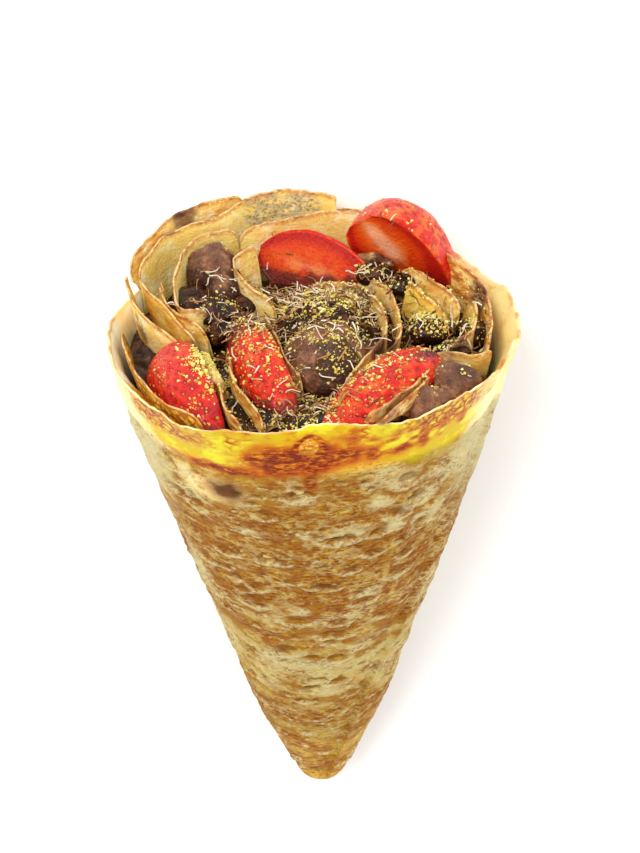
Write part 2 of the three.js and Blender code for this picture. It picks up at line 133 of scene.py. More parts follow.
def make_piece(name, points, faces, fields=(), finish=None):
    """A mesh piece from cone-frame points. Fields are numbers per point that the finish reads."""
    mesh = bpy.data.meshes.new(name)
    mesh.from_pydata(laid(points).tolist(), [], [list(face) for face in faces])
    for field, values in dict(fields).items():
        made = mesh.attributes.new(field, "FLOAT", "POINT")
        made.data.foreach_set("value", np.asarray(values, np.float32).ravel())
    mesh.polygons.foreach_set("use_smooth", np.ones(len(mesh.polygons), bool))
    mesh.validate()
    if finish:
        mesh.materials.append(finish)
    piece = bpy.data.objects.new(name, mesh)
    bpy.context.scene.collection.objects.link(piece)
    return piece


def grid_faces(rows, columns, around=False):
    """Four-sided faces between rows of points; around joins the last column to the first."""
    row, column = np.meshgrid(
        np.arange(rows - 1), np.arange(columns if around else columns - 1), indexing="ij")
    after = (column + 1) % columns
    corners = [row * columns + column, row * columns + after,
               (row + 1) * columns + after, (row + 1) * columns + column]
    return np.stack([corner.ravel() for corner in corners], axis=-1)


def close_ends(points, faces, rows, columns):
    """Closes the first and the last row of a grid with a fan of triangles round its middle."""
    for first in (0, (rows - 1) * columns):
        hub = len(points)
        points = np.vstack([points, points[first:first + columns].mean(axis=0)])
        for side in range(columns):
            pair = [first + (side + 1) % columns, first + side]
            faces.append([*(pair if first == 0 else pair[::-1]), hub])
    return points


def joined(parts):
    """One set of points and faces from several."""
    points, faces = [], []
    for part, sides in parts:
        start = sum(len(earlier) for earlier in points)
        points.append(part)
        faces += [[corner + start for corner in side] for side in sides]
    return np.concatenate(points), faces


def near_spots(points, spots, full, gone):
    """1 near the spots and 0 away from them. A spot is its middle and its reach; full and gone
    say at what share of its reach it starts to fade and where it ends."""
    strongest = np.zeros(len(points))
    for middle, reach in spots:
        off = np.linalg.norm(points - middle, axis=1)
        strongest = np.maximum(strongest, 1 - ramp(off, full * reach, gone * reach))
    return strongest


def add(tree, kind, settings=(), inputs=()):
    """Adds a node, with its settings, and with its inputs set to values or linked to outputs."""
    node = tree.nodes.new(kind)
    for key, value in dict(settings).items():
        setattr(node, key, value)
    for key, value in dict(inputs).items():
        if isinstance(value, bpy.types.NodeSocket):
            tree.links.new(value, node.inputs[key])
        else:
            node.inputs[key].default_value = value
    return node


def linear(code, alpha=1.0):
    """An sRGB hex colour as the linear colour that a shader takes."""
    parts = [int(code[place:place + 2], 16) / 255 for place in (1, 3, 5)]
    return (*[((part + 0.055) / 1.055) ** 2.4 if part > 0.04045 else part / 12.92
              for part in parts], alpha)


def grow(name, tree, carrier, **sizes):
    """Runs a Geometry Nodes tree on a carrier mesh and returns what it grows as a plain piece."""
    holder = bpy.data.objects.new(name, carrier)
    bpy.context.scene.collection.objects.link(holder)
    modifier = holder.modifiers.new("grow", "NODES")
    modifier.node_group = tree
    for item in tree.interface.items_tree:
        wanted = item.name.lower().replace(" ", "_")
        if item.item_type == "SOCKET" and item.in_out == "INPUT" and wanted in sizes:
            modifier[item.identifier] = sizes[wanted]
    bpy.context.view_layer.update()
    solid = bpy.data.meshes.new_from_object(
        holder.evaluated_get(bpy.context.evaluated_depsgraph_get()))
    holder.modifiers.clear()
    holder.data = solid
    return holder


def new_tree(name, sizes):
    """A Geometry Nodes tree that takes geometry, its sizes by name and a finish."""
    tree = bpy.data.node_groups.new(name, "GeometryNodeTree")
    tree.interface.new_socket("Geometry", in_out="INPUT", socket_type="NodeSocketGeometry")
    for size, (kind, value) in sizes.items():
        socket = tree.interface.new_socket(size, in_out="INPUT", socket_type=kind)
        socket.default_value = value
    tree.interface.new_socket("Finish", in_out="INPUT", socket_type="NodeSocketMaterial")
    tree.interface.new_socket("Geometry", in_out="OUTPUT", socket_type="NodeSocketGeometry")
    return tree, add(tree, "NodeGroupInput"), add(tree, "NodeGroupOutput")


# ---------------------------------------------------------------- finishes

FOOD_IOR = 1.45  # fat, egg and sugar lie close together
SWIRL_SCALE = 1.3  # how fast a bent pattern wanders, against its own size


def food_finish(name, patterns, base, layers, relief, depth=0.8, gloss=(), **shader):
    """Builds one finish. A pattern is a kind of texture, its output, its size in mm along the
    cone's own X, Y and Z, how far it is bent, and its inputs. Each layer lays a colour over
    those below it where all its masks hold; a mask is a pattern, or a number that the mesh
    carries, brought smoothly from 0 to 1 between two values. Relief adds patterns up."""
    finish = bpy.data.materials.new(name)
    finish.use_nodes = True
    tree = finish.node_tree
    tree.nodes.clear()
    place = add(tree, "ShaderNodeTexCoord").outputs["Object"]
    source = {}
    for pattern, (kind, output, size, bend, inputs) in patterns.items():
        settings = {"feature": output[0]} if kind == "ShaderNodeTexVoronoi" else {}
        spot = add(tree, "ShaderNodeMapping", {"vector_type": "TEXTURE"}, {
            "Vector": place, "Rotation": (LIE_ANGLE - math.pi / 2, 0, 0),
            "Scale": tuple(side * MM for side in size)}).outputs[0]
        if bend:
            swirl = add(tree, "ShaderNodeTexNoise", {}, {
                "Vector": spot, "Scale": SWIRL_SCALE, "Detail": 2.0})
            spot = add(tree, "ShaderNodeVectorMath", {"operation": "MULTIPLY_ADD"}, {
                0: swirl.outputs["Color"], 1: (bend, bend, bend), 2: spot}).outputs[0]
        texture = add(tree, kind, settings, {"Vector": spot, "Scale": 1.0, **inputs})
        source[pattern] = texture.outputs[output[1]]

    def held(amount, masks):
        """Where all the masks hold, by the given amount."""
        for mask, low, high in masks:
            if mask not in source:
                carried = add(tree, "ShaderNodeAttribute", {"attribute_name": mask})
                source[mask] = carried.outputs["Fac"]
            smooth = add(tree, "ShaderNodeMapRange", {"interpolation_type": "SMOOTHSTEP"}, {
                0: source[mask], 1: min(low, high), 2: max(low, high),
                3: float(low > high), 4: float(low < high)})
            amount = add(tree, "ShaderNodeMath", {"operation": "MULTIPLY"}, {
                0: smooth.outputs[0], 1: amount}).outputs[0]
        return amount

    colour = linear(base)
    for hue, amount, *masks in layers:
        colour = add(tree, "ShaderNodeMix", {"data_type": "RGBA"}, {
            0: held(amount, masks), 6: colour, 7: linear(hue)}).outputs[2]
    height = 0.0
    for amount, *masks in relief:
        height = add(tree, "ShaderNodeMath", {"operation": "ADD"}, {
            0: held(amount, masks), 1: height}).outputs[0]
    roughness = shader.pop("Roughness")
    for change, *masks in gloss:
        roughness = add(tree, "ShaderNodeMath", {"operation": "ADD"}, {
            0: held(change, masks), 1: roughness}).outputs[0]
    bump = add(tree, "ShaderNodeBump", {}, {
        "Strength": 1.0, "Distance": depth * MM, "Height": height})
    surface = add(tree, "ShaderNodeBsdfPrincipled", {}, {
        "Base Color": colour, "Roughness": roughness, "Normal": bump.outputs[0],
        "IOR": FOOD_IOR, **shader})
    add(tree, "ShaderNodeOutputMaterial", {}, {"Surface": surface.outputs[0]})
    return finish


NOISE, CELLS = "ShaderNodeTexNoise", "ShaderNodeTexVoronoi"
FAC, WALLS, POCKS = (None, "Fac"), ("DISTANCE_TO_EDGE", "Distance"), ("SMOOTH_F1", "Distance")
ROUGH_NOISE = {"Detail": 4.0, "Roughness": 0.65}
SOFT_NOISE = {"Detail": 2.0, "Roughness": 0.5}

FINISH = {
    # Pan-fried crepe, its griddle side out. Batter that boiled on the iron leaves pale bubble
    # walls 2 to 5 mm apart and fine brown streaks; under the rim the egg is smooth and yellow,
    # with a brown lace where it crisped. The streaks are drawn half a millimetre wide, twice
    # their real width, so that they show.
    "wrap": food_finish(
        "griddled_crepe", {
            "streaks": (NOISE, FAC, (2.6, 2.6, 0.85), 0.6, {"Detail": 5.0, "Roughness": 0.72}),
            "patches": (NOISE, FAC, (9, 9, 5), 0, ROUGH_NOISE),
            "grain": (NOISE, FAC, (1.2, 1.2, 0.6), 0.3, ROUGH_NOISE),
            "bubbles": (CELLS, WALLS, (4.6, 4.6, 2.7), 1.3, {}),
            "lace cells": (CELLS, WALLS, (2.9, 2.9, 2.1), 1.0, {}),
            "pocks": (CELLS, POCKS, (2.4, 2.4, 1.3), 0.4, {"Smoothness": 0.3}),
        }, "#CB9230", [
            ("#E4B63E", 0.9, ("patches", 0.44, 0.58)),
            ("#965C0E", 0.8, ("grain", 0.49, 0.36)),
            ("#F4D478", 0.9, ("pale", 0.25, 0.75), ("patches", 0.4, 0.54)),
            ("#FBEAAA", 0.85, ("pale", 0.5, 1.0), ("grain", 0.42, 0.58)),
            ("#B8660C", 0.85, ("brown", 0.1, 0.6), ("streaks", 0.42, 0.53)),
            ("#87420A", 0.9, ("brown", 0.3, 0.9), ("streaks", 0.52, 0.62)),
            ("#F5DC92", 0.5, ("bubbles", 0.2, 0.02), ("patches", 0.44, 0.58), ("rough", 0.2, 0.8)),
            # Painted highlight on the lip below each pit, with the pale foam of blisters and pale
            # spots.
            ("#FBE9AC", 0.85, ("lip_highlight_and_foam", 0.15, 0.8), ("grain", 0.32, 0.55)),
            # Painted shade in the upper part of each pit.
            ("#9A5C18", 0.68, ("pit_shade", 0.15, 0.95), ("grain", 0.1, 0.5)),
            # A real scorched spot below the yellow band; in the deepest slits the same dark is
            # painted shade.
            ("#A66C34", 0.7, ("scorch_and_slit_shade", 0.05, 0.5), ("grain", 0.3, 0.55)),
            ("#5C2E0E", 0.92, ("scorch_and_slit_shade", 0.3, 1.0), ("grain", 0.2, 0.42)),
            ("#D2B00A", 1.0, ("yolk", 0.2, 0.7)),
            ("#E2DA24", 0.9, ("yolk", 0.5, 0.9), ("patches", 0.44, 0.56)),
            ("#FAF3B8", 0.5, ("yolk", 0.6, 1.0), ("grain", 0.62, 0.72)),
            ("#CC760E", 0.85, ("red", 0.05, 0.4), ("grain", 0.28, 0.5)),
            ("#A83A0C", 0.92, ("red", 0.22, 0.62), ("streaks", 0.32, 0.52)),
            ("#6E2008", 0.9, ("red", 0.45, 0.95), ("streaks", 0.44, 0.56)),
            ("#D0780F", 0.85, ("lace", 0.25, 0.9), ("lace cells", 0.34, 0.12)),
            ("#9A400C", 0.85, ("lace", 0.4, 1.0), ("lace cells", 0.14, 0.03)),
            ("#6E2A08", 0.6, ("lace", 0.6, 1.0), ("lace cells", 0.06, 0.01)),
            # Pale cream on the rim's rounded top and the inner face; on the upper sides of the cone
            # and on the inner face at the left and right it is painted light, brightening crepe
            # that lies in shade.
            ("#FFEDB0", 0.9, ("rim", 0.1, 0.85), ("patches", 0.24, 0.48)),
            # The inner face's own pale cream at the left, brightened further as painted light.
            ("#FFFAE0", 0.9, ("cream", 0.1, 0.8)),
        ], [
            (0.55, ("pocks", 0.15, 0.75), ("rough", 0.1, 0.8)),
            (0.7, ("grain", 0.2, 0.8), ("rough", 0.1, 0.8)),
            (0.5, ("streaks", 0.3, 0.7), ("rough", 0.1, 0.8)),
            (0.3, ("bubbles", 0.14, 0.0), ("rough", 0.1, 0.8)),
            (0.12, ("patches", 0.3, 0.7)),
        ], depth=1.0, gloss=[(-0.2, ("yolk", 0.3, 0.9))],
        Roughness=0.6, **{"Specular IOR Level": 0.18, "Subsurface Weight": 0.08,
                          "Subsurface Radius": (1.0, 0.6, 0.3), "Subsurface Scale": 1.0 * MM}),
    # The same crepe folded inside: soft golden faces, an edge that caught the iron, with a painted
    # highlight along its very top, toasted stains, and chocolate that wells up between the layers.
    # Further down between the sheets they darken: chocolate there, with painted shade.
    "sheet": food_finish(
        "folded_crepe", {
            "clouds": (NOISE, FAC, (7, 7, 5), 0, ROUGH_NOISE),
            "grain": (NOISE, FAC, (1.1, 1.1, 0.8), 0, ROUGH_NOISE),
            "runs": (NOISE, FAC, (4.5, 4.5, 1.4), 0.5, ROUGH_NOISE),
            "web": (CELLS, WALLS, (3.4, 3.4, 2.8), 1.2, {}),
        }, "#F6DC88", [
            ("#F1CB68", 0.85, ("clouds", 0.42, 0.6)),
            ("#FAECB4", 0.85, ("clouds", 0.48, 0.38)),
            ("#F5D033", 0.85, ("yolk", 0.1, 0.8)),
            ("#E0902A", 0.9, ("toast", 0.1, 0.7), ("runs", 0.4, 0.56)),
            ("#A04E14", 0.9, ("toast", 0.45, 1.0), ("runs", 0.5, 0.62)),
            ("#C46A14", 0.85, ("lace", 0.3, 0.9), ("web", 0.3, 0.12)),
            ("#8A3C0E", 0.9, ("lace", 0.3, 0.9), ("web", 0.12, 0.03)),
            ("#BBA780", 0.8, ("blotch", 0.25, 0.8), ("runs", 0.4, 0.54)),
            ("#7A664A", 0.7, ("blotch", 0.4, 0.9), ("grain", 0.5, 0.6)),
            ("#C87C2E", 0.72, ("edge", 0.25, 0.85), ("grain", 0.32, 0.56)),
            ("#9C5018", 0.65, ("edge", 0.6, 0.95), ("runs", 0.48, 0.6)),
            # Painted highlight along the very top of the edge.
            ("#F3D6A0", 0.6, ("edge", 0.95, 1.0), ("clouds", 0.44, 0.56)),
            ("#8E5424", 0.6, ("edge", 0.8, 1.0), ("runs", 0.54, 0.62)),
            # Darker and wetter further down between the sheets: chocolate, with painted shade.
            ("#A87838", 0.55, ("sunk", 0.1, 0.7)),
            ("#80503A", 0.85, ("smear", 0.2, 0.65), ("clouds", 0.3, 0.52)),
            ("#4C271A", 0.9, ("smear", 0.6, 1.0), ("runs", 0.36, 0.56)),
            ("#2C140E", 0.9, ("sunk", 0.5, 1.0)),
        ], [
            (0.6, ("clouds", 0.2, 0.8)),
            (0.5, ("grain", 0.2, 0.8)),
            (-0.35, ("web", 0.12, 0.0), ("lace", 0.2, 0.8)),
        ], depth=0.45, gloss=[(-0.25, ("smear", 0.4, 1.0)), (-0.2, ("sunk", 0.4, 1.0))],
        Roughness=0.52, **{"Specular IOR Level": 0.3, "Subsurface Weight": 0.12,
                           "Subsurface Radius": (1.0, 0.6, 0.3), "Subsurface Scale": 1.2 * MM}),
    # Ripe strawberry: wet dimpled skin; a cut face that runs from red at its rim through
    # orange to a pale core.
    "berry": food_finish(
        "strawberry_flesh_and_skin", {
            "mottle": (NOISE, FAC, (4.5, 4.5, 4.5), 0, ROUGH_NOISE),
            "fine": (NOISE, FAC, (1.0, 1.0, 1.0), 0, ROUGH_NOISE),
            "glint": (NOISE, FAC, (0.7, 0.7, 0.7), 0, SOFT_NOISE),
        }, "#D4180A", [
            ("#F0521A", 0.9, ("ripe", 0.95, 0.4), ("mottle", 0.44, 0.62)),
            ("#F57A2C", 0.7, ("ripe", 0.5, 0.0), ("mottle", 0.48, 0.62)),
            ("#A80A1C", 0.85, ("ripe", 0.55, 1.0), ("mottle", 0.6, 0.35)),
            # Painted shade in the dimple round each seed.
            ("#7C060E", 0.7, ("dimple", 0.3, 1.0)),
            ("#DC3A06", 1.0, ("cut", 0.3, 0.7)),
            ("#EC6612", 0.85, ("cut", 0.5, 1.0), ("core", 0.85, 0.35), ("mottle", 0.35, 0.6)),
            ("#F28C50", 0.9, ("cut", 0.5, 1.0), ("core", 0.5, 0.15), ("mottle", 0.2, 0.5)),
            ("#FBAE86", 0.85, ("cut", 0.5, 1.0), ("core", 0.34, 0.06)),
            ("#B81410", 0.85, ("cut", 0.5, 1.0), ("core", 0.74, 0.98)),
            ("#6A2018", 0.85, ("stain", 0.15, 0.6), ("mottle", 0.3, 0.5)),
            ("#2E0E10", 0.85, ("stain", 0.55, 1.0), ("fine", 0.3, 0.6)),
        ], [(0.5, ("mottle", 0.2, 0.8)), (0.3, ("fine", 0.3, 0.7)), (0.3, ("glint", 0.55, 0.7))],
        depth=0.6, Roughness=0.24, **{
            "Subsurface Weight": 0.15, "Subsurface Radius": (1.0, 0.25, 0.12),
            "Subsurface Scale": 1.8 * MM, "Specular IOR Level": 0.3, "Coat Weight": 0.15,
            "Coat Roughness": 0.06}),
    # Whipped chocolate cream, set: dull, mauve brown and a little crumbly.
    "cream": food_finish(
        "chocolate_cream", {
            "clouds": (NOISE, FAC, (4, 4, 4), 0, ROUGH_NOISE),
            "grain": (NOISE, FAC, (0.9, 0.9, 0.9), 0, ROUGH_NOISE),
        }, "#784A30", [
            ("#A97654", 0.8, ("clouds", 0.48, 0.62)), ("#52301F", 0.8, ("clouds", 0.46, 0.34)),
            ("#3A1C10", 0.9, ("shade", 0.48, 0.12)), ("#C09674", 0.4, ("grain", 0.56, 0.7)),
        ], [(0.6, ("clouds", 0.2, 0.8)), (0.5, ("grain", 0.3, 0.7))], depth=0.5, Roughness=0.34,
        **{"Specular IOR Level": 0.35}),
    # Melted dark chocolate: nearly black, brown where it thins, and wet.
    "sauce": food_finish(
        "dark_chocolate_sauce", {
            "clouds": (NOISE, FAC, (3.5, 3.5, 3.5), 0, ROUGH_NOISE),
        }, "#1E0C05", [
            ("#5A2C14", 0.7, ("clouds", 0.46, 0.64)), ("#8A5228", 0.3, ("clouds", 0.6, 0.72)),
        ], [(1.0, ("clouds", 0.2, 0.8))], depth=0.35, Roughness=0.14,
        **{"Specular IOR Level": 0.2}),
    # Finely chopped pistachio: pale yellow-green kernels, some golden with skin.
    "pistachio": food_finish(
        "chopped_pistachio", {
            "grain": (NOISE, FAC, (0.5, 0.5, 0.5), 0, SOFT_NOISE),
        }, "#D9C858", [
            ("#F3E898", 0.9, ("shade", 0.5, 0.9)), ("#A8862C", 0.9, ("shade", 0.3, 0.05)),
            ("#A89030", 0.5, ("grain", 0.5, 0.35)),
        ], [(0.5, ("grain", 0.2, 0.8))], depth=0.2, Roughness=0.6),
    # Toasted kadaif pastry, thin threads: dark brown where they caught, pale cream where not.
    "kadaif": food_finish(
        "toasted_kadaif", {
            "tint": (NOISE, FAC, (2.5, 2.5, 2.5), 0, SOFT_NOISE),
        }, "#B57F3C", [
            ("#62341A", 0.95, ("shade", 0.42, 0.2)), ("#F3E6CC", 0.95, ("shade", 0.6, 0.75)),
            ("#D0A05C", 0.4, ("tint", 0.5, 0.62)),
        ], [(0.3, ("tint", 0.2, 0.8))], depth=0.2, Roughness=0.5),
    # Strawberry seeds: golden and shiny.
    "seed": food_finish(
        "strawberry_seed", {
            "tint": (NOISE, FAC, (1, 1, 1), 0, SOFT_NOISE),
        }, "#CE8E34", [
            ("#EFC460", 0.8, ("shade", 0.5, 1.0)), ("#9A5418", 0.7, ("shade", 0.3, 0.0)),
        ], [(0.2, ("tint", 0.2, 0.8))], depth=0.1, Roughness=0.3),
}


def belongs(piece, slot, *nodes):
    """Every piece rides on the one body; some stand for CAD nodes."""
    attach(piece, "root")
    if nodes:
        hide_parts(*nodes)
    return piece


# ---------------------------------------------------------------- the cone's own form


def floor_behind(z):
    """How far behind the axis the table is, at a height along it."""
    return FLOOR_AT_MOUTH + z * math.tan(LIE_ANGLE)


def cone_radius(depth):
    """The outside of the plain cone: a power curve, and half a ball at the tip."""
    side = MOUTH_RADIUS * np.maximum(1 - depth / CONE_LENGTH, 0) ** SIDE_BULGE
    past = np.maximum(depth - (TIP_DEPTH - TIP_RADIUS), 0)
    tip = np.sqrt(np.maximum(TIP_RADIUS**2 - past**2, 0))
    return np.where(past > 0, np.minimum(side, tip), side)


def round_bump(angle, middle, width):
    """A bell round the cone; angles and width are in radians."""
    away = np.arctan2(np.sin(angle - middle), np.cos(angle - middle))
    return np.exp(-2 * (away / width) ** 2)


def hand_made(angle, depth):
    """The slow swellings of a cone that was rolled by hand, in mm."""
    fade = np.minimum(1, (TIP_DEPTH - depth) / 60)
    swell = 0.45 * np.sin(2 * angle + depth / 23) + 0.3 * np.sin(5 * angle - depth / 13)
    return (swell + 0.25 * np.sin(depth / 9 + 2 * np.sin(angle))) * fade


FLARE_FADE = 11.0  # mm below the rim over which its flare dies away


def mouth_flare(angle, depth):
    """How far the mouth is pushed out or drawn in, in mm; it is gone a few cm down."""
    reach = np.exp(-np.maximum(depth, 0) / FLARE_FADE)
    left = 3.4 * round_bump(angle, -2.1, 0.5) - 3.6 * round_bump(angle, 2.75, 0.36)
    right = 1.6 * round_bump(angle, -0.95, 0.45) + 2.6 * round_bump(angle, -0.3, 0.5)
    return (left + right - 0.9 * round_bump(angle, -1.6, 0.4) + 0.35 * np.sin(9 * angle)) * reach


def rim_height(angle):
    """The height of the rippled rim, which stands up at the back."""
    ripple = 0.5 * np.sin(7 * angle + 0.6) + 0.35 * np.sin(12 * angle)
    return ripple - 0.3 + 3.2 * round_bump(angle, math.pi / 2, 0.9)


def spread(z):
    """The radius of the wall's inner face, carried on above the mouth."""
    inside = np.where(z < 0, cone_radius(-np.minimum(z, 0)), MOUTH_RADIUS + z * MOUTH_SLOPE)
    return inside - WALL


def kept_inside(points, sunk):
    """Draws in what would come through the wall, to the wall's inner face or sunk into it."""
    x, y, z = points.T
    angle, radius = np.arctan2(y, x), np.hypot(x, y)
    wall = spread(z) + 0.8 * mouth_flare(angle, -z) * np.exp(-np.maximum(z, 0) / FLARE_FADE) + sunk
    above = ramp(z, rim_height(angle) + 1, rim_height(angle) + 6)
    drawn = np.minimum(radius, np.where(above > 0, wall + 30 * above, wall))
    front = np.minimum(drawn * np.sin(angle), floor_behind(z) - WALL + sunk)
    return np.stack([drawn * np.cos(angle), front, z], axis=-1)


# ---------------------------------------------------------------- the rolled crepe

SKIN_AROUND, SKIN_ALONG = 384, 216
FRONT_CROWDING = 0.42  # how far the points are drawn to the front; 0 is evenly
MOUTH_CROWDING = 1.2  # power that draws them to the mouth; 1 is evenly
SEAM_CURVE = 1.2  # power by which the seam's twist grows towards the tip
LAP_FADE = 12.0  # the step of the lap is gone over the last mm before the tip
NO_LIMIT = 1000.0  # more than any radius


def rolled_crepe_tree():
    """Rolls a flat grid into a cone: X goes round, from the free edge inwards, and Y from the
    tip to the mouth. The radius follows the side's power curve and a round tip. The points
    crowd together a little at the front and at the mouth, where the crepe is liveliest."""
    sizes = {
        "Around": ("NodeSocketInt", SKIN_AROUND), "Along": ("NodeSocketInt", SKIN_ALONG),
        "Mouth Radius": ("NodeSocketFloat", MOUTH_RADIUS),
        "Length": ("NodeSocketFloat", CONE_LENGTH),
        "Side Bulge": ("NodeSocketFloat", SIDE_BULGE),
        "Tip Radius": ("NodeSocketFloat", TIP_RADIUS), "Tip Depth": ("NodeSocketFloat", TIP_DEPTH),
        "Lap Step": ("NodeSocketFloat", LAP_STEP),
        "Seam At Mouth": ("NodeSocketFloat", SEAM_AT_MOUTH),
        "Seam Twist": ("NodeSocketFloat", SEAM_TWIST), "Seam Gap": ("NodeSocketFloat", SEAM_GAP),
        "Front Crowding": ("NodeSocketFloat", FRONT_CROWDING),
    }
    tree, given, result = new_tree("rolled crepe", sizes)
    flat = add(tree, "GeometryNodeMeshGrid", {}, {
        "Size X": 1.0, "Size Y": 1.0,
        "Vertices X": given.outputs["Around"], "Vertices Y": given.outputs["Along"]})
    spot = add(tree, "ShaderNodeSeparateXYZ", {}, {
        0: add(tree, "GeometryNodeInputPosition").outputs[0]})
    value = {size: given.outputs[size] for size in sizes}
    value.update({"x": spot.outputs[0], "y": spot.outputs[1]})
    steps = [
        ("share", "ADD", "x", 0.5),
        ("down", "SUBTRACT", 0.5, "y"),
        ("eased", "POWER", "down", MOUTH_CROWDING),
        ("depth", "MULTIPLY", "eased", "Tip Depth"),
        ("twisted", "POWER", "eased", SEAM_CURVE),
        ("seam", "MULTIPLY_ADD", "twisted", "Seam Twist", "Seam At Mouth"),
        ("open", "SUBTRACT", 1.0, "Seam Gap"),
        ("round", "MULTIPLY", "open", TURN),
        ("even", "MULTIPLY_ADD", "share", "round", "seam"),
        ("from front", "ADD", "even", math.pi / 2),
        ("swing", "SINE", "from front"),
        ("crowded", "MULTIPLY", "swing", "Front Crowding"),
        ("angle", "SUBTRACT", "even", "crowded"),
        ("past seam", "SUBTRACT", "angle", "seam"),
        ("turned", "DIVIDE", "past seam", "round"),
        ("drop", "DIVIDE", "depth", "Length"),
        ("left", "SUBTRACT", 1.0, "drop"),
        ("curved", "POWER", "left", "Side Bulge"),
        ("side", "MULTIPLY", "curved", "Mouth Radius"),
        ("tip start", "SUBTRACT", "Tip Depth", "Tip Radius"),
        ("beyond", "SUBTRACT", "depth", "tip start"),
        ("past", "MAXIMUM", "beyond", 0.0),
        ("past squared", "MULTIPLY", "past", "past"),
        ("tip squared", "MULTIPLY", "Tip Radius", "Tip Radius"),
        ("under", "SUBTRACT", "tip squared", "past squared"),
        ("kept", "MAXIMUM", "under", 0.0),
        ("ball", "SQRT", "kept"),
        ("in tip", "GREATER_THAN", "past", 0.0),
        ("opened", "SUBTRACT", 1.0, "in tip"),
        ("limit", "MULTIPLY_ADD", "opened", NO_LIMIT, "ball"),
        ("radius", "MINIMUM", "side", "limit"),
        ("half", "SUBTRACT", 0.5, "turned"),
        ("to tip", "SUBTRACT", "Tip Depth", "depth"),
        ("fading", "DIVIDE", "to tip", LAP_FADE),
        ("fade", "MINIMUM", "fading", 1.0),
        ("lap", "MULTIPLY", "half", "Lap Step"),
        ("faded lap", "MULTIPLY", "lap", "fade"),
        ("outside", "ADD", "radius", "faded lap"),
        ("cosine", "COSINE", "angle"),
        ("sine", "SINE", "angle"),
        ("across", "MULTIPLY", "outside", "cosine"),
        ("front", "MULTIPLY", "outside", "sine"),
        ("height", "MULTIPLY", "depth", -1.0),
    ]
    for name, operation, *terms in steps:
        value[name] = add(tree, "ShaderNodeMath", {"operation": operation}, {
            place: value.get(term, term) for place, term in enumerate(terms)}).outputs[0]
    rolled = flat.outputs["Mesh"]
    for name in ("share", "depth", "angle"):
        rolled = add(tree, "GeometryNodeStoreNamedAttribute", {"data_type": "FLOAT"}, {
            "Geometry": rolled, "Name": name, "Value": value[name]}).outputs[0]
    rolled = add(tree, "GeometryNodeSetPosition", {}, {
        "Geometry": rolled, "Position": add(tree, "ShaderNodeCombineXYZ", {}, {
            0: value["across"], 1: value["front"], 2: value["height"]}).outputs[0]})
    real = add(tree, "GeometryNodeRealizeInstances", {}, {0: rolled.outputs[0]})
    painted = add(tree, "GeometryNodeSetMaterial", {}, {
        "Geometry": real.outputs[0], "Material": given.outputs["Finish"]})
    tree.links.new(painted.outputs[0], result.inputs[0])
    return tree


# Single blisters and pits: degrees round from the front, depth below the rim, half width and
# half height, and how far each stands out or sinks, in mm.
MARKS = [
    (-33, 25, 16, 7.5, 0.7), (-26, 24.5, 3.4, 2.4, -0.5), (-41, 21, 3.5, 2.5, 0.5),
    (-22, 29, 3, 2, 0.5), (-48, 29, 3, 2.4, -0.6), (-50, 34, 3.4, 2.6, -0.7),
    (-42, 36, 3.2, 2.4, -0.7), (-18, 51.5, 3.0, 1.6, -1.7), (3, 62, 4.6, 1.5, -2.0),
    (-4, 110.5, 3.6, 1.4, -1.8), (7, 42.5, 4.6, 1.8, -1.2), (22, 42, 3.2, 1.7, -1.0),
    (13, 38, 9, 1.4, 0.5), (-5, 24, 3.6, 2.2, -1.1), (-5, 18, 3.2, 1.8, -0.6),
    (-16, 32, 3, 2, -0.6),
    (-9, 77, 4.8, 2.2, -0.9), (10, 78, 3.6, 1.8, -0.8), (-15, 91, 4.0, 2.4, -0.9),
    (10, 96, 4.2, 1.9, -1.1), (-4, 95, 4.2, 1.6, -1.0), (-20, 93, 3.4, 2.0, -0.9),
    (8, 84, 5, 2.0, -0.7), (-1, 106, 4.4, 1.5, -1.0), (12, 108, 3.6, 1.8, -0.8),
    (-40, 100, 3.6, 2, -0.8), (-28, 71, 4.4, 3, -0.8), (-12, 118, 3, 1.5, -0.7),
    (36, 33, 4.6, 3.2, -0.9), (30, 24, 4.2, 3, -0.8), (40, 25, 4.6, 3.2, 0.7),
    (44, 41, 5.5, 2.8, 0.8), (41, 45, 3.8, 2, -1.1), (52, 28, 5, 3.2, 0.7),
    (23, 31, 4.4, 2.6, 0.6),
    (20, 22, 5, 2.4, 0.5), (28, 36, 3.6, 2.2, -0.8), (-16, 146, 1.8, 1.8, 0.6),
    (25, 88, 6, 2.4, 0.6), (-50, 60, 4, 2.4, -0.7), (35, 62, 4.4, 2.4, -0.7),
    (20, 70, 4, 1.8, -0.8), (-35, 52, 3.6, 2, -0.8),
]
SMALL_PITS = 680  # strewn over the rest of the skin

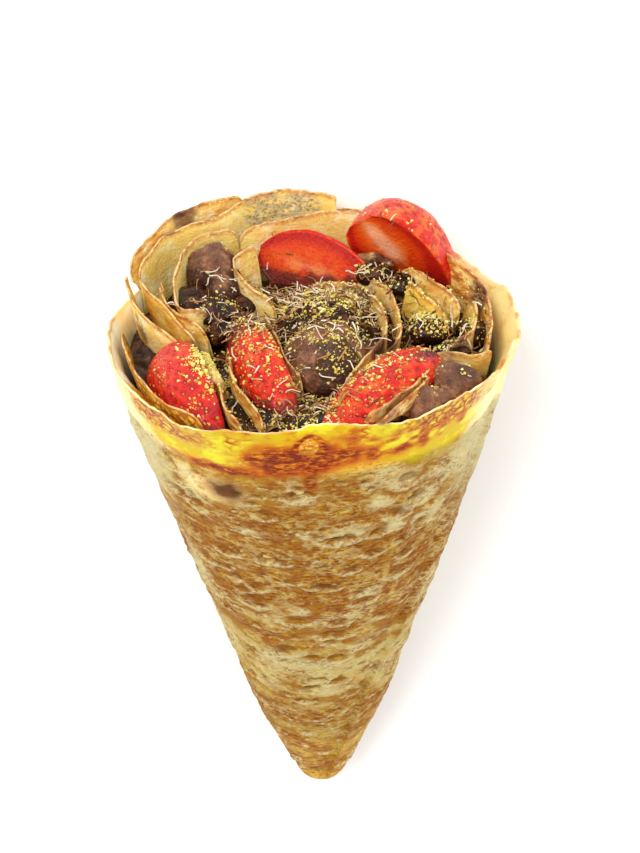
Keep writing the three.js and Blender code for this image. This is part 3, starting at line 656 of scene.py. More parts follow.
# Where the batter stayed pale and foamy: degrees round from the front, depth, half width in
# degrees, half height in mm and how pale.
PALE_SPOTS = [
    (21, 31, 5, 3, 0.9), (29, 41.5, 5, 3, 0.8), (39, 43.4, 4, 3, 1.0), (48, 43, 5, 4, 1.0),
    (40, 34, 5, 3, 0.9), (29, 24, 7, 3, 0.9), (21, 18.5, 6, 2.6, 0.6), (48, 27, 6, 6, 0.9),
    (11, 40.6, 12, 2.0, 0.9), (-3, 40.6, 3, 1.8, 0.9), (-22, 41.4, 6, 2.0, 0.9),
    (-5, 27, 7, 2, 0.7),
    (-42, 33, 8, 3, 0.6), (12, 76, 10, 2.4, 0.7), (-6, 73.5, 5, 1.6, 0.9), (22, 68, 9, 2.4, 0.7),
    (-2, 99, 14, 2, 0.7), (-24, 97, 9, 4, 0.8), (20, 92, 8, 3, 0.6), (8, 113, 9, 2, 0.6),
    (-10, 138.5, 10, 0.9, 0.9), (16, 137.5, 8, 0.8, 0.6), (-17.6, 146, 4, 1.4, 1.0),
    (60, 75, 8, 6, 0.7), (-58, 70, 8, 9, 0.8), (-30, 58, 7, 2, 0.4), (34, 88, 6, 2, 0.5),
]
# Deep slits, darkened as painted shade: degrees round from the front, depth, width and how dark.
SHADED_SLITS = [
    (-18, 51.2, 3, 1.0), (3, 61.8, 4.4, 1.0), (-4, 110.2, 3.4, 1.0), (7, 42, 3, 1.0),
    (-5, 24, 2.4, 0.5),
]
# The rim's rounded edge: how far in from the outside and how far above it, in mm.
RIM = [(0.12, 0.2), (0.38, 0.32), (0.66, 0.2), (0.85, -0.2)]


def pocks(angle, depth, radius, share):
    """Blisters and pits over the crepe: how far each point stands out, in mm; painted shade in
    the upper part of each pit; and a painted highlight on the lip below a pit, with the pale top
    of a blister; each from 0 to 1."""
    out, pit_shade, lip_highlight_and_foam = (np.zeros(angle.shape) for _ in range(3))
    marks = [(math.radians(degrees - 90), *mark) for degrees, *mark in MARKS]
    for _ in range(SMALL_PITS):
        down = 15 + 152 * random.random() ** 1.3
        wide = 1.0 + 2.2 * random.random() ** 2
        tall = wide * (0.4 + 0.25 * random.random())
        sink = -(0.2 + 0.22 * wide) * (0.5 + 0.9 * random.random())
        marks.append((TURN * random.random(), down, wide, tall, sink))
    for middle, down, wide, tall, rise in marks:
        near = np.abs(depth - down) < tall * 2.4
        away = np.arctan2(np.sin(angle[near] - middle), np.cos(angle[near] - middle)) * radius[near]
        below = (depth[near] - down) / tall
        reach = np.hypot(away / wide, below)
        if rise > 0:
            out[near] += rise * (1 - ramp(reach, 0.45, 1.1))
            lip_highlight_and_foam[near] = np.maximum(lip_highlight_and_foam[near], 0.6 * (1 - ramp(reach, 0.4, 1.2)))
            continue
        inner = 1 - ramp(reach, 0.4, 1.0)
        lip = bell(reach, 1.2, 0.3) * ramp(below, -0.3, 0.7)
        brow = bell(reach, 1.15, 0.22) * ramp(below, 0.1, -0.7)
        out[near] += rise * (inner - 0.35 * lip - 0.2 * brow)
        pit_shade[near] = np.maximum(pit_shade[near], inner * ramp(below, 0.95, 0.0))
        lip_highlight_and_foam[near] = np.maximum(lip_highlight_and_foam[near], lip)
    clear = ramp(np.minimum(share, 1 - share), 0.0, 0.02)
    return out * clear, pit_shade * clear, lip_highlight_and_foam * clear


def crepe_wrap():
    """The rolled crepe: its outside with swellings, blisters and pits, a thin rim and the inner
    face down to the bottom of the cavity, and what its finish reads."""
    tree = rolled_crepe_tree()
    rolled = grow("crepe_wrap_roll", tree, bpy.data.meshes.new("empty"), finish=FINISH["wrap"],
                  around=SKIN_AROUND, along=SKIN_ALONG)
    count = len(rolled.data.vertices)
    place = np.zeros(count * 3, np.float32)
    rolled.data.vertices.foreach_get("co", place)
    place = place.reshape(-1, 3).astype(float)
    values = {}
    for name in ("share", "depth", "angle"):
        store = np.zeros(count, np.float32)
        rolled.data.attributes[name].data.foreach_get("value", store)
        values[name] = store.astype(float)
    bpy.data.objects.remove(rolled)
    order = np.lexsort((values["share"], -np.round(values["depth"], 3)))
    share, depth, angle = (values[name][order] for name in ("share", "depth", "angle"))
    place = place[order]
    radius = np.hypot(place[:, 0], place[:, 1])

    # Streaks and bubbles run round the cone, so noises are squeezed along it.
    flat = np.stack([radius * np.cos(angle), radius * np.sin(angle), -depth * 1.8], axis=-1)
    away = np.degrees(np.arctan2(np.sin(angle + math.pi / 2), np.cos(angle + math.pi / 2)))
    body = ramp(depth, 12, 22) * (1 - 0.5 * ramp(depth, 160, 172))
    out, pit_shade, lip_highlight_and_foam = pocks(angle, depth, radius, share)
    bent = np.stack([uneven(flat, 5, seed) for seed in (31, 32, 33)], axis=-1)
    walls = bubble_walls(flat + 1.6 * bent, 5.6, 34)
    waves = 0.4 * uneven(flat, 11, 1) + 0.3 * uneven(flat, 4.5, 2) + 0.22 * uneven(flat, 2.2, 3)
    blister = 0.9 * bell(away, -33, 19) * bell(depth + 1.5 * uneven(flat, 4, 46), 25, 8)
    crinkled = (1 - 0.75 * blister) * (1 - 0.6 * ramp(depth, 138, 146))
    ring = flat * [1, 1, 0]
    border = 13.6 + 3.6 * bell(away, -28, 20) + 1.0 * uneven(ring, 7, 4)
    border += 0.5 * uneven(ring, 2, 44)
    layer = 0.9 * ramp(border - depth, -0.3, 0.5) * ramp(away, 2, -12) * ramp(away, -95, -60)
    sunk = (out + (waves + 0.3 * walls - 0.15) * crinkled) * body
    sunk += 0.22 * uneven(flat, 6, 35) * ramp(depth, 1, 5)
    sunk += 0.8 * bell(away, -1, 2.6) * bell(depth, 6.8, 2.2) ** 2
    radius = radius + hand_made(angle, depth) + mouth_flare(angle, depth) + sunk + layer

    rise = ramp(depth, 9, 0) * (rim_height(angle) - 0.2 + 0.9 * uneven(ring, 7.5, 36)
                                + 0.6 * uneven(ring, 3.4, 5) + 0.3 * uneven(ring, 1.4, 6))
    radius = radius + rise * MOUTH_SLOPE
    height = -depth + rise

    def pressed(angle, radius, height, inset):
        """A row of points, pressed flat where it would go through the table."""
        front = np.minimum(radius * np.sin(angle), floor_behind(height) - inset)
        return np.stack([radius * np.cos(angle), front, height], axis=-1)

    outside = pressed(angle, radius, height, 0)

    # The rim is thin and rounded, and the inner face runs down to the bottom of the cavity.
    top = slice(count - SKIN_AROUND, count)
    rim_angle, rim_radius, rim_top = angle[top], radius[top], height[top]
    rows = [outside]
    for inset, lift in RIM:
        rows.append(pressed(rim_angle, rim_radius - inset, rim_top + lift, inset))
    for down in (0.8, 1.8, 3, 4.5, 6, 8, 10, 12.5, 16, 20, 26, 36, 52, 76, CAVITY_DEPTH):
        wall = cone_radius(down) - WALL + 0.8 * mouth_flare(rim_angle, down)
        mixed = ramp(down, 0, 4)
        reach = wall * mixed + (rim_radius - 1.0 - down * MOUTH_SLOPE) * (1 - mixed)
        level = (rim_top - down) * ramp(down, 16, 4) - down * (1 - ramp(down, 16, 4))
        ripple = 0.25 * uneven(np.stack([rim_angle * 50, level, level * 0], axis=-1), 6, 8)
        rows.append(pressed(rim_angle, reach + ripple, level, WALL))
    points = np.concatenate(rows)
    whole = len(points) // SKIN_AROUND
    faces = grid_faces(whole, SKIN_AROUND, around=True).tolist()
    points = close_ends(points, faces, whole, SKIN_AROUND)

    # What the finish reads, on the outside and then on the rim and the inside.
    rim_away = away[top]
    left = ramp(-away, 30, 62)
    soft, fine = uneven(flat, 8, 9), uneven(flat, 2.6, 10)
    lower = 12.5 + 5.5 * bell(away, 36, 14) + 2.4 * soft
    under = np.where((away < -6) & (away > -92), border - depth, lower - depth)
    melted = 1.4 + 2.6 * ramp(away, -4, 14)
    yolk = ramp(under + 1.3 * fine, -melted, melted) * (1 - 0.8 * left)
    yolk = yolk * (1 - 0.5 * ramp(away, 62, 90))
    bubble = np.hypot((away + 1) * 0.98, (depth - 6.6) * 1.05)
    red = 1.1 * bell(away, -8, 10) * bell(depth, 10.5 + 2 * soft, 4.2)
    red += bell(away, 1, 9) * bell(depth, 11.5, 3.6)
    red += 0.65 * bell(away, -1, 2.4) * bell(depth, 19.5, 3.2) + 0.9 * bell(bubble, 3.2, 0.9)
    red += 0.75 * bell(away, -27, 15) * bell(border - depth, 1.2, 2.2)
    red += 0.45 * bell(away, 20, 12) * bell(depth, 11.5, 2.5)
    red += 0.5 * bell(away, 11, 1.6) * bell(depth, 4, 3)
    red += 0.2 * bell(away, 2, 20) * bell(depth, 8, 6) * (1 + soft)
    red += 0.3 * bell(away, 34, 15) * bell(depth, 8, 4) * (0.9 + 2.2 * fine)
    red = np.clip(red * (1.15 + 0.6 * fine), 0, 1) * ramp(bubble, 2.2, 3.2)
    yolk *= ramp(bubble, 2.2, 3.0)
    pale_spots = np.zeros(count)
    patchy = 1 + 0.5 * uneven(flat, 2.4, 48)
    for spot, down, wide, tall, amount in PALE_SPOTS:
        foam = amount * bell(away, spot, wide) * bell(depth, down, tall)
        pale_spots = np.maximum(pale_spots, foam * patchy)
    # The big dark spot is a real scorch; the deep slits darkened after it are painted shade.
    scorch_and_slit_shade = np.clip(bell(away, -26, 3.7) * bell(depth + fine, 24.5, 2.3)
                     + 0.6 * bell(away, -27, 9) * bell(depth, 24.5, 5.4), 0, 1)
    for middle, down, wide, dark in SHADED_SLITS:
        off = np.radians(away - middle) * radius
        scorch_and_slit_shade = np.maximum(scorch_and_slit_shade, dark * bell(off, 0, wide * 0.62) * bell(depth, down, 0.9))
    ragged = 0.55 * uneven(ring, 2.2, 45) + 0.45 * fine
    lace = ramp(depth, 13, 5) * np.clip(
        0.1 + 1.1 * bell(away, -44, 16) + 1.1 * bell(away, 40, 15) + 0.55 * bell(away, 12, 7)
        + 0.55 * ramp(np.abs(away), 70, 120) + 0.35 * bell(away, -14, 8) + 0.6 * ragged, 0, 1)
    belts = np.clip(0.95 * bell(depth, 60, 17) + 0.6 * bell(depth, 36, 9)
                    + 0.65 * bell(depth, 128, 6) + 0.35 * bell(depth, 86, 6), 0, 1)
    brown = 0.2 + belts * (0.65 + 0.35 * np.cos(np.radians(away - 12))) + 0.4 * soft
    # The upper sides, where the cone turns from view, are painted lighter: less brown and a pale
    # cream, as painted light.
    lit_sides = ramp(np.abs(away), 42, 64) * ramp(np.abs(away), 125, 90) * ramp(depth, 66, 24)
    brown += 0.4 * bell(away, 60, 7) * bell(depth, 46, 9) - 0.6 * lit_sides
    brown += 0.35 * bell(away, 8, 26) * bell(depth, 26, 8) * (1 + fine)
    brown = np.clip(brown, 0, 1) * (1 - 0.9 * blister)
    brown = np.clip(brown + 0.35 * ramp(depth, 134, 146) * (0.6 + 0.8 * soft), 0, 1) * (1 - yolk)
    brown *= 1 - 0.8 * np.clip(pale_spots, 0, 1)
    brown = np.clip(brown + 0.5 * (1 - ramp(bubble, 2.0, 3.0)), 0, 1)
    pale = 0.32 - belts * 0.4 + 0.5 * uneven(flat, 7, 12)
    pale += 0.62 * blister * (1 + 0.7 * uneven(flat, 3, 47))
    pale += 0.2 * bell(away, 38, 17) * bell(depth, 29, 15) + 0.5 * left * ramp(depth, 60, 10)
    # The pale at the sides, in the second term, is painted light.
    pale += 1.1 * pale_spots + 0.5 * ramp(np.abs(away), 46, 66) * ramp(depth, 128, 90)
    pale += 0.45 * bell(depth, 76, 5) + 0.4 * bell(depth, 104, 12) + 0.3 * ramp(away, 40, 60)
    pale = np.clip(pale, 0, 1) * (1 - 0.85 * ramp(depth, 132, 140))
    pale *= 1 - 0.6 * bell(away, 4, 18) * bell(depth, 22, 9)
    # Painted highlight on the lips below pits, joined with the pale foam spots.
    lip_highlight_and_foam = np.maximum(0.9 * lip_highlight_and_foam, 0.95 * pale_spots)
    rough = body * (1 - 0.85 * blister) * (1 - 0.5 * ramp(depth, 136, 144))
    inner_pale = np.where(rim_away < 0, 1.0, 0.9)
    # The inner face is pale of its own, and lemon at the right; at the left and the right it is
    # brightened further with cream as painted light, where the wall lies in shade.
    cream = ramp(rim_away, -55, -68) * ramp(rim_away, -150, -125)
    crisp = np.clip(0.2 + 0.9 * uneven(ring[top], 4, 49), 0, 0.42)
    inner_yolk = 0.5 * ramp(rim_away, 10, 40) + 0.8 * bell(rim_away, -42, 20)
    inner_lace = 0.1 + 0.3 * bell(rim_away, 50, 20) + 0.9 * bell(rim_away, -40, 22)
    lit_inner_cream = 0.95 * cream + 0.5 * ramp(rim_away, 55, 70)
    fields = {}
    for name, outer, rim, inside in (
            ("yolk", yolk, 0.3, inner_yolk),
            ("pale", pale, 0.95, inner_pale),
            ("brown", brown, 0.0, 0.1),
            ("red", red, crisp, 0.0),
            ("lace", lace, 0.75, inner_lace),
            ("rough", rough, 0.0, 0.1),
            ("pit_shade", pit_shade * body, 0.0, 0.0),
            ("lip_highlight_and_foam", lip_highlight_and_foam * body, 0.0, 0.0),
            ("scorch_and_slit_shade", scorch_and_slit_shade, 0.0, 0.0),
            ("cream", 0.0, 0.0, cream * (0.8 + 0.6 * uneven(ring[top], 9, 50))),
            ("rim", 0.75 * lit_sides * (1 + 0.5 * soft), 0.9 - crisp, lit_inner_cream)):
        values = np.concatenate([
            np.broadcast_to(outer, count),
            np.tile(np.broadcast_to(rim, SKIN_AROUND), len(RIM)),
            np.tile(np.broadcast_to(inside, SKIN_AROUND), whole - len(RIM) - SKIN_ALONG),
            [0.3, 0.3]])
        fields[name] = values
    piece = make_piece("crepe_wrap_rolled", points, faces, fields, FINISH["wrap"])
    belongs(piece, "crepe_wrap", "crepe_wrap")


# ---------------------------------------------------------------- folded crepe sheets

# The upper edge of each sheet as points [x, y, z], with the depth of its foot as a fourth
# number where it differs, then how it is made, and how toasted it is, how smeared with
# chocolate and how yellow, each from 0 to 1.
SHEETS = {
    "crepe_flap_back_outer": (
        [[-50.6, 20.3, 9, 8], [-44.8, 30.1, 12.2, 12], [-39.3, 37.4, 14.4, 12],
         [-33, 42.9, 15.2, 12], [-26, 46.3, 15.6, 12], [-18.7, 49, 15, 12]],
        {"thickness": 1.4, "taper": 0.5, "sway": 0.15}, (0.45, 0.2, 0.0)),
    "crepe_flap_back_inner": (
        [[-47.8, 17.8, 7.5], [-41.4, 32.2, 10.6], [-33.9, 37.2, 11.5], [-27.6, 40.5, 12],
         [-16.6, 48, 15.2], [-9.1, 50, 15.8], [-0.2, 50.4, 15.3], [8.9, 48.4, 13.8]],
        {"thickness": 1.4, "taper": 0.5, "sway": 0.15, "ends": (3, 0.4)}, (0.12, 0.0, 0.25)),
    "crepe_layer_back": (
        [[-20, 36.5, 9.5], [-5, 42.5, 10.5], [10.5, 45.3, 11.5], [22, 42.5, 11], [33, 35.5, 9]],
        {}, (0.1, 0.0, 0.1)),
    "crepe_layer_right": (
        [[36, 29, 8], [43, 19, 6.6], [48.2, 8, 3.6], [50, -5, 1.4], [48.4, -16, 0.7]],
        {}, (0.95, 0.2, 0.0)),
    "crepe_curl_left": (
        [[-20.5, 38, 9.5], [-31, 33.5, 9.5], [-37.2, 22, 8], [-38, 9.5, 5], [-34.5, 0, 4],
         [-27.5, 1.6, 2.5]],
        {}, (0.2, 0.1, 0.15)),
    "crepe_sheet_left_1": (
        [[-51, 15.5, 7.5], [-49.6, 4.5, 6], [-43.8, -5, 4.5], [-34, -14.6, 1.5]],
        {}, (0.5, 0.0, 0.4)),
    "crepe_sheet_left_2": (
        [[-45.8, 12, 8], [-43, 4, 6.5], [-38.8, -1.6, 4.8], [-30.5, -11.5, 1.5]],
        {}, (0.5, 0.0, 0.45)),
    "crepe_sheet_left_3": (
        [[-42.3, 9.5, 7], [-39.8, 3.5, 5.8], [-35.8, -2.6, 4.4], [-28, -8, 1.5]],
        {}, (0.45, 0.0, 0.4)),
    "crepe_sheet_middle": (
        [[-14.5, 30.5, 8], [-21.5, 23, 7.5], [-18.5, 13, 5.5], [-9.5, 4.5, 3.5]],
        {}, (0.4, 0.12, 0.0)),
    "crepe_ring_inner": (
        [[1, 17, 2], [12, 15.8, 2], [19.8, 8, 1.6], [21.6, -5, 1.2], [17.4, -17, 0.6],
         [9, -30, -1]],
        {}, (0.4, 0.3, 0.1)),
    "crepe_ring_outer": (
        [[14, 20.5, 2.6], [22.4, 13.4, 2], [25.4, 1.5, 1.6], [24, -9, 0.8], [19.5, -18, 0]],
        {}, (0.55, 0.15, 0.1)),
    "crepe_ring_left": (
        [[-12.6, 2, 1.6], [-10.2, -7.5, 0.8], [-6.2, -19, 0], [-2.5, -30, -1.5]],
        {}, (0.4, 0.3, 0.1)),
    "crepe_fold_right_1": (
        [[26.2, 20, 5], [32.5, 14, 5.2], [38.2, 6.5, 4.6], [41.4, -0.5, 3.4]],
        {"thickness": 2.2}, (0.5, 0.0, 0.1)),
    "crepe_fold_right_2": (
        [[44.6, 7, 2.6], [46, -3, 2], [44.4, -11.5, 1.4], [38.2, -14.6, 0.6]],
        {"thickness": 2}, (0.45, 0.0, 0.0)),
    "crepe_fold_right_3": (
        [[27.6, 12, 4.6], [30.8, 8.2, 4.2], [34.4, 2, 3], [38, -5, 1.4]],
        {"thickness": 2}, (0.6, 0.0, 0.9)),
    "crepe_fold_right_4": (
        [[49.2, -19, 0.8], [44.2, -21.2, 0.8], [37.4, -19.6, 0.4], [31, -20.4, -0.4]],
        {}, (0.75, 0.35, 0.0)),
    "crepe_lap_front_1": (
        [[32.2, -26.4, 0.6, 16], [26.4, -36.6, 1.2, 12], [19.6, -46.8, 2.2, 4],
         [13.6, -55.2, 3.4, -1.7]],
        {"sway": 0.2}, (1.0, 0.28, 0.0)),
    "crepe_lap_front_2": (
        [[31.6, -31.6, 0.2, 14], [26.8, -40.4, 1, 8], [22, -48.4, 2.2, 1], [17, -56.2, 3.2, -1.5]],
        {"sway": 0.2}, (1.0, 0.34, 0.0)),
    "crepe_sheet_front_1": (
        [[-22, -18, 0.6], [-20.2, -27.5, -0.4], [-16.4, -38, -1.6], [-12.5, -47.5, -2]],
        {}, (1.0, 0.2, 0.0)),
    "crepe_sheet_front_2": (
        [[-25.4, -30, 0], [-22.6, -39, -1], [-18, -48.2, -1.8]], {}, (1.0, 0.1, 0.0)),
    "crepe_crumbed": (
        [[-29.2, -17, 0.4], [-26.8, -24, 0], [-24, -31, -1]],
        {"thickness": 6, "sway": 0.1}, (0.3, 0.0, 0.3)),
    "crepe_lip_left": (
        [[-50.8, -3, 0.2], [-49.2, -16, 0.4], [-45.6, -28, 0.6], [-38.4, -40, 1], [-28, -49.6, 1]],
        {"thickness": 1.4}, (0.15, 0.0, 0.95)),
    "crepe_roll_back": (
        [[11, 27.5, 3.5], [19, 27.2, 5], [24.6, 22.4, 4.6]], {"thickness": 4}, (0.4, 0.6, 0.0)),
}


def smooth_line(corners, count):
    """Points along a centripetal Catmull-Rom curve through the corners, and their shares."""
    spots = np.asarray([corner[:3] for corner in corners], float)
    spots = np.vstack([2 * spots[0] - spots[1], spots, 2 * spots[-1] - spots[-2]])
    knots = np.concatenate([[0], np.cumsum(np.linalg.norm(np.diff(spots, axis=0), axis=1) ** 0.5)])
    shares = np.linspace(0, 1, count)
    place = shares * (len(corners) - 1)
    index = np.minimum(place.astype(int), len(corners) - 2)
    t0, t1, t2, t3 = (knots[index + shift][:, None] for shift in range(4))
    t = t1 + (t2 - t1) * (place - index)[:, None]
    p0, p1, p2, p3 = (spots[index + shift] for shift in range(4))
    a1 = ((t1 - t) * p0 + (t - t0) * p1) / (t1 - t0)
    a2 = ((t2 - t) * p1 + (t - t1) * p2) / (t2 - t1)
    a3 = ((t3 - t) * p2 + (t - t2) * p3) / (t3 - t2)
    b1 = ((t2 - t) * a1 + (t - t0) * a2) / (t2 - t0)
    b2 = ((t3 - t) * a2 + (t - t1) * a3) / (t3 - t1)
    return ((t2 - t) * b1 + (t - t1) * b2) / (t2 - t1), shares


# Where chocolate has run onto the sheets: middle and reach, in mm.
SMUDGES = [
    ((-31, 12, -1), 9), ((-49, -1, -2), 8), ((-38, 43, 14), 8.4), ((-24, 1, 1), 7),
    ((20, 22, 2), 7), ((38, -13, -2), 8), ((27, -26, -1), 7), ((14, 14, 0), 6), ((46, 8, 2), 7),
    ((-33, -14, -2), 6), ((20, -16, -1), 6), ((-18, 20, 1), 5),
]
# Where the griddle left grey-brown freckles on a sheet: middle and reach, in mm.
FRECKLES = [((-13, 49, 10), 8), ((-2, 50, 9), 8), ((-27, 34, 2), 6)]

FACE_ROWS = 24  # points up each face of a sheet
COLUMN_WIDTH = 0.6  # mm between them along it
BITE = 1.2  # a sheet's ends may press this far into the crepe's wall
OFF_WALL = -0.3  # and what fills the crepe stays this far inside it


def crepe_sheet(name, corners, thickness=SHEET_THICKNESS, sway=0.5, taper=1.0, ends=(3, 3),
                look=(0, 0, 0)):
    """A soft sheet that stands on edge: both faces, a rounded upper edge, a foot, and ends
    whose upper corners are rounded off over the given lengths."""
    rough_line, _ = smooth_line(corners, 40)
    length = np.linalg.norm(np.diff(rough_line, axis=0), axis=1).sum()
    columns = max(20, int(length / COLUMN_WIDTH))
    top, shares = smooth_line(corners, columns)
    feet = -np.interp(shares * (len(corners) - 1), np.arange(len(corners)),
                      [corner[3] if len(corner) > 3 else SHEET_FOOT for corner in corners])
    along = np.gradient(top, axis=0)
    across = np.stack([-along[:, 1], along[:, 0]], axis=-1)
    across /= np.linalg.norm(across, axis=1)[:, None]
    wave = sway * np.sin(shares * 7 + corners[0][0])
    seed = len(name) * 7 + int(abs(corners[0][0]))
    ragged = np.stack([top[:, 0], top[:, 1], top[:, 2] * 0], axis=-1)
    lift = 0.45 * uneven(ragged, 6.5, seed) + 0.25 * uneven(ragged, 1.7, seed + 1)
    for gone, rounding in ((shares * length, ends[0]), ((1 - shares) * length, ends[1])):
        lift -= rounding * (1 - np.sqrt(1 - (1 - np.clip(gone / rounding, 0, 1)) ** 2))

    # Up one face, over the rounded edge and down the other; the sheet thins towards the edge.
    thinned = 0.62 if thickness < 3 else 0.25
    climb = 1 - np.linspace(0, 1, FACE_ROWS) ** 1.7
    side = np.ones(FACE_ROWS)
    heights = np.concatenate([climb[::-1], [1, 1, 1], climb])
    asides = np.concatenate([side, [0.72, 0, -0.72], -side])
    bulge = np.concatenate([side * 0, [0.22, 0.34, 0.22], side * 0])
    rows, edge = [], []
    for height, aside, raised in zip(heights, asides, bulge):
        z = feet + (top[:, 2] + lift - feet) * height
        drawn = (spread(z) / spread(top[:, 2])) ** taper
        middle = np.stack([top[:, 0] * drawn, top[:, 1] * drawn, z], axis=-1)
        crumple = 0.7 * uneven(middle, 11, seed + 2) + 0.22 * uneven(middle, 3.6, seed + 3)
        half = thickness / 2 * (0.85 + 0.25 * uneven(middle, 4, seed + 4))
        half = half * (1 - thinned * height**3)
        shift = (wave + crumple) * height + aside * half
        middle[:, :2] += across * shift[:, None]
        middle[:, 2] += raised * thickness * (1 - thinned)
        rows.append(middle)
        edge.append(ramp((1 - height) * np.abs(top[:, 2] - feet), 2.6, 0))
    points = kept_inside(np.concatenate(rows), BITE)
    count = len(rows)
    faces = grid_faces(count, columns).tolist()
    last = (count - 1) * columns
    for column in range(columns - 1):
        faces.append([last + column, last + column + 1, column + 1, column])
    half_rows = count // 2
    for column, turned in ((0, False), (columns - 1, True)):
        for row in range(half_rows):
            other = count - 1 - row
            end = list(dict.fromkeys([
                row * columns + column, (row + 1) * columns + column,
                (other - 1) * columns + column, other * columns + column]))
            if len(end) > 2:
                faces.append(end if turned else end[::-1])
    toast, smear, yolk = look
    spots = uneven(points, 9, seed + 5)
    smudge = near_spots(points, SMUDGES, 0.35, 1.0)
    blotchy = 0.5 * uneven(points, 5, seed + 6) + 0.3 * uneven(points, 2, seed + 7)
    fields = {
        "blotch": near_spots(points, FRECKLES, 0.4, 1.3),
        "lace": np.full(len(points), 0.7 if name == "crepe_lip_left" else 0.0),
        "toast": np.clip(toast * (0.8 + 0.5 * spots), 0, 1),
        "smear": np.clip(smear * (1.1 + 0.8 * uneven(points, 11, seed + 8))
                         + smudge * (0.75 + blotchy), 0, 1),
        "yolk": np.clip(yolk * (0.9 + 0.4 * spots), 0, 1),
        # Deeper down between the sheets: chocolate there, with painted shade.
        "sunk": ramp(points[:, 2] + 2.5 * spots, -3.5, -14),
        "edge": np.concatenate(edge),
    }
    return make_piece(f"{name}_folded", points, faces, fields, FINISH["sheet"])


# ---------------------------------------------------------------- strawberries

BERRIES = {
    "strawberry_left": dict(
        middle=(-29, -28.4, -8), to_tip=(0.34, -0.94, -0.1), cut_facing=(0.94, 0.34, -0.12),
        length=41, width=23, depth=12.5, blunt=0.36),
    "strawberry_middle": dict(
        middle=(-10.8, -17, -7.5), to_tip=(-0.32, 0.92, 0.24), cut_facing=(0.93, 0.3, -0.12),
        length=45, width=22, depth=11, blunt=0.38),
    "strawberry_right": dict(
        middle=(18, -33.8, -9), to_tip=(-0.69, -0.73, -0.1), cut_facing=(0.5, -0.3, -0.8),
        length=47, width=22, depth=11.5, blunt=0.34),
    "strawberry_back": dict(
        middle=(4, 26.4, 0.6), to_tip=(0.9, -0.4, -0.15), cut_facing=(-0.3, -0.86, 0.35),
        length=41, width=21, depth=9, blunt=0.6, heart=0.75, heart_at=0.6),
    "strawberry_tall": dict(
        middle=(27.6, 24.4, 2.6), to_tip=(0.67, -0.04, -0.82), cut_facing=(-0.53, -0.97, -0.25),
        length=38.7, width=25, depth=16.8, blunt=0.34, heart_at=0.76),
}
# How dark red each is at its tip, its middle and its stalk end.
RIPENESS = {
    "strawberry_left": (1, 0.7, 0.55), "strawberry_middle": (0.9, 0.2, 0.6),
    "strawberry_right": (0.9, 0.15, 0.95), "strawberry_back": (0.5, 0.1, 0.3),
    "strawberry_tall": (0.5, 0.1, 0.15),
}
SEED_SPACING = 2.9
BERRY_ROWS, SKIN_POINTS, CUT_POINTS = 72, 56, 26
BERRY_END = 0.012  # the first and last row lie this share of the length from the ends


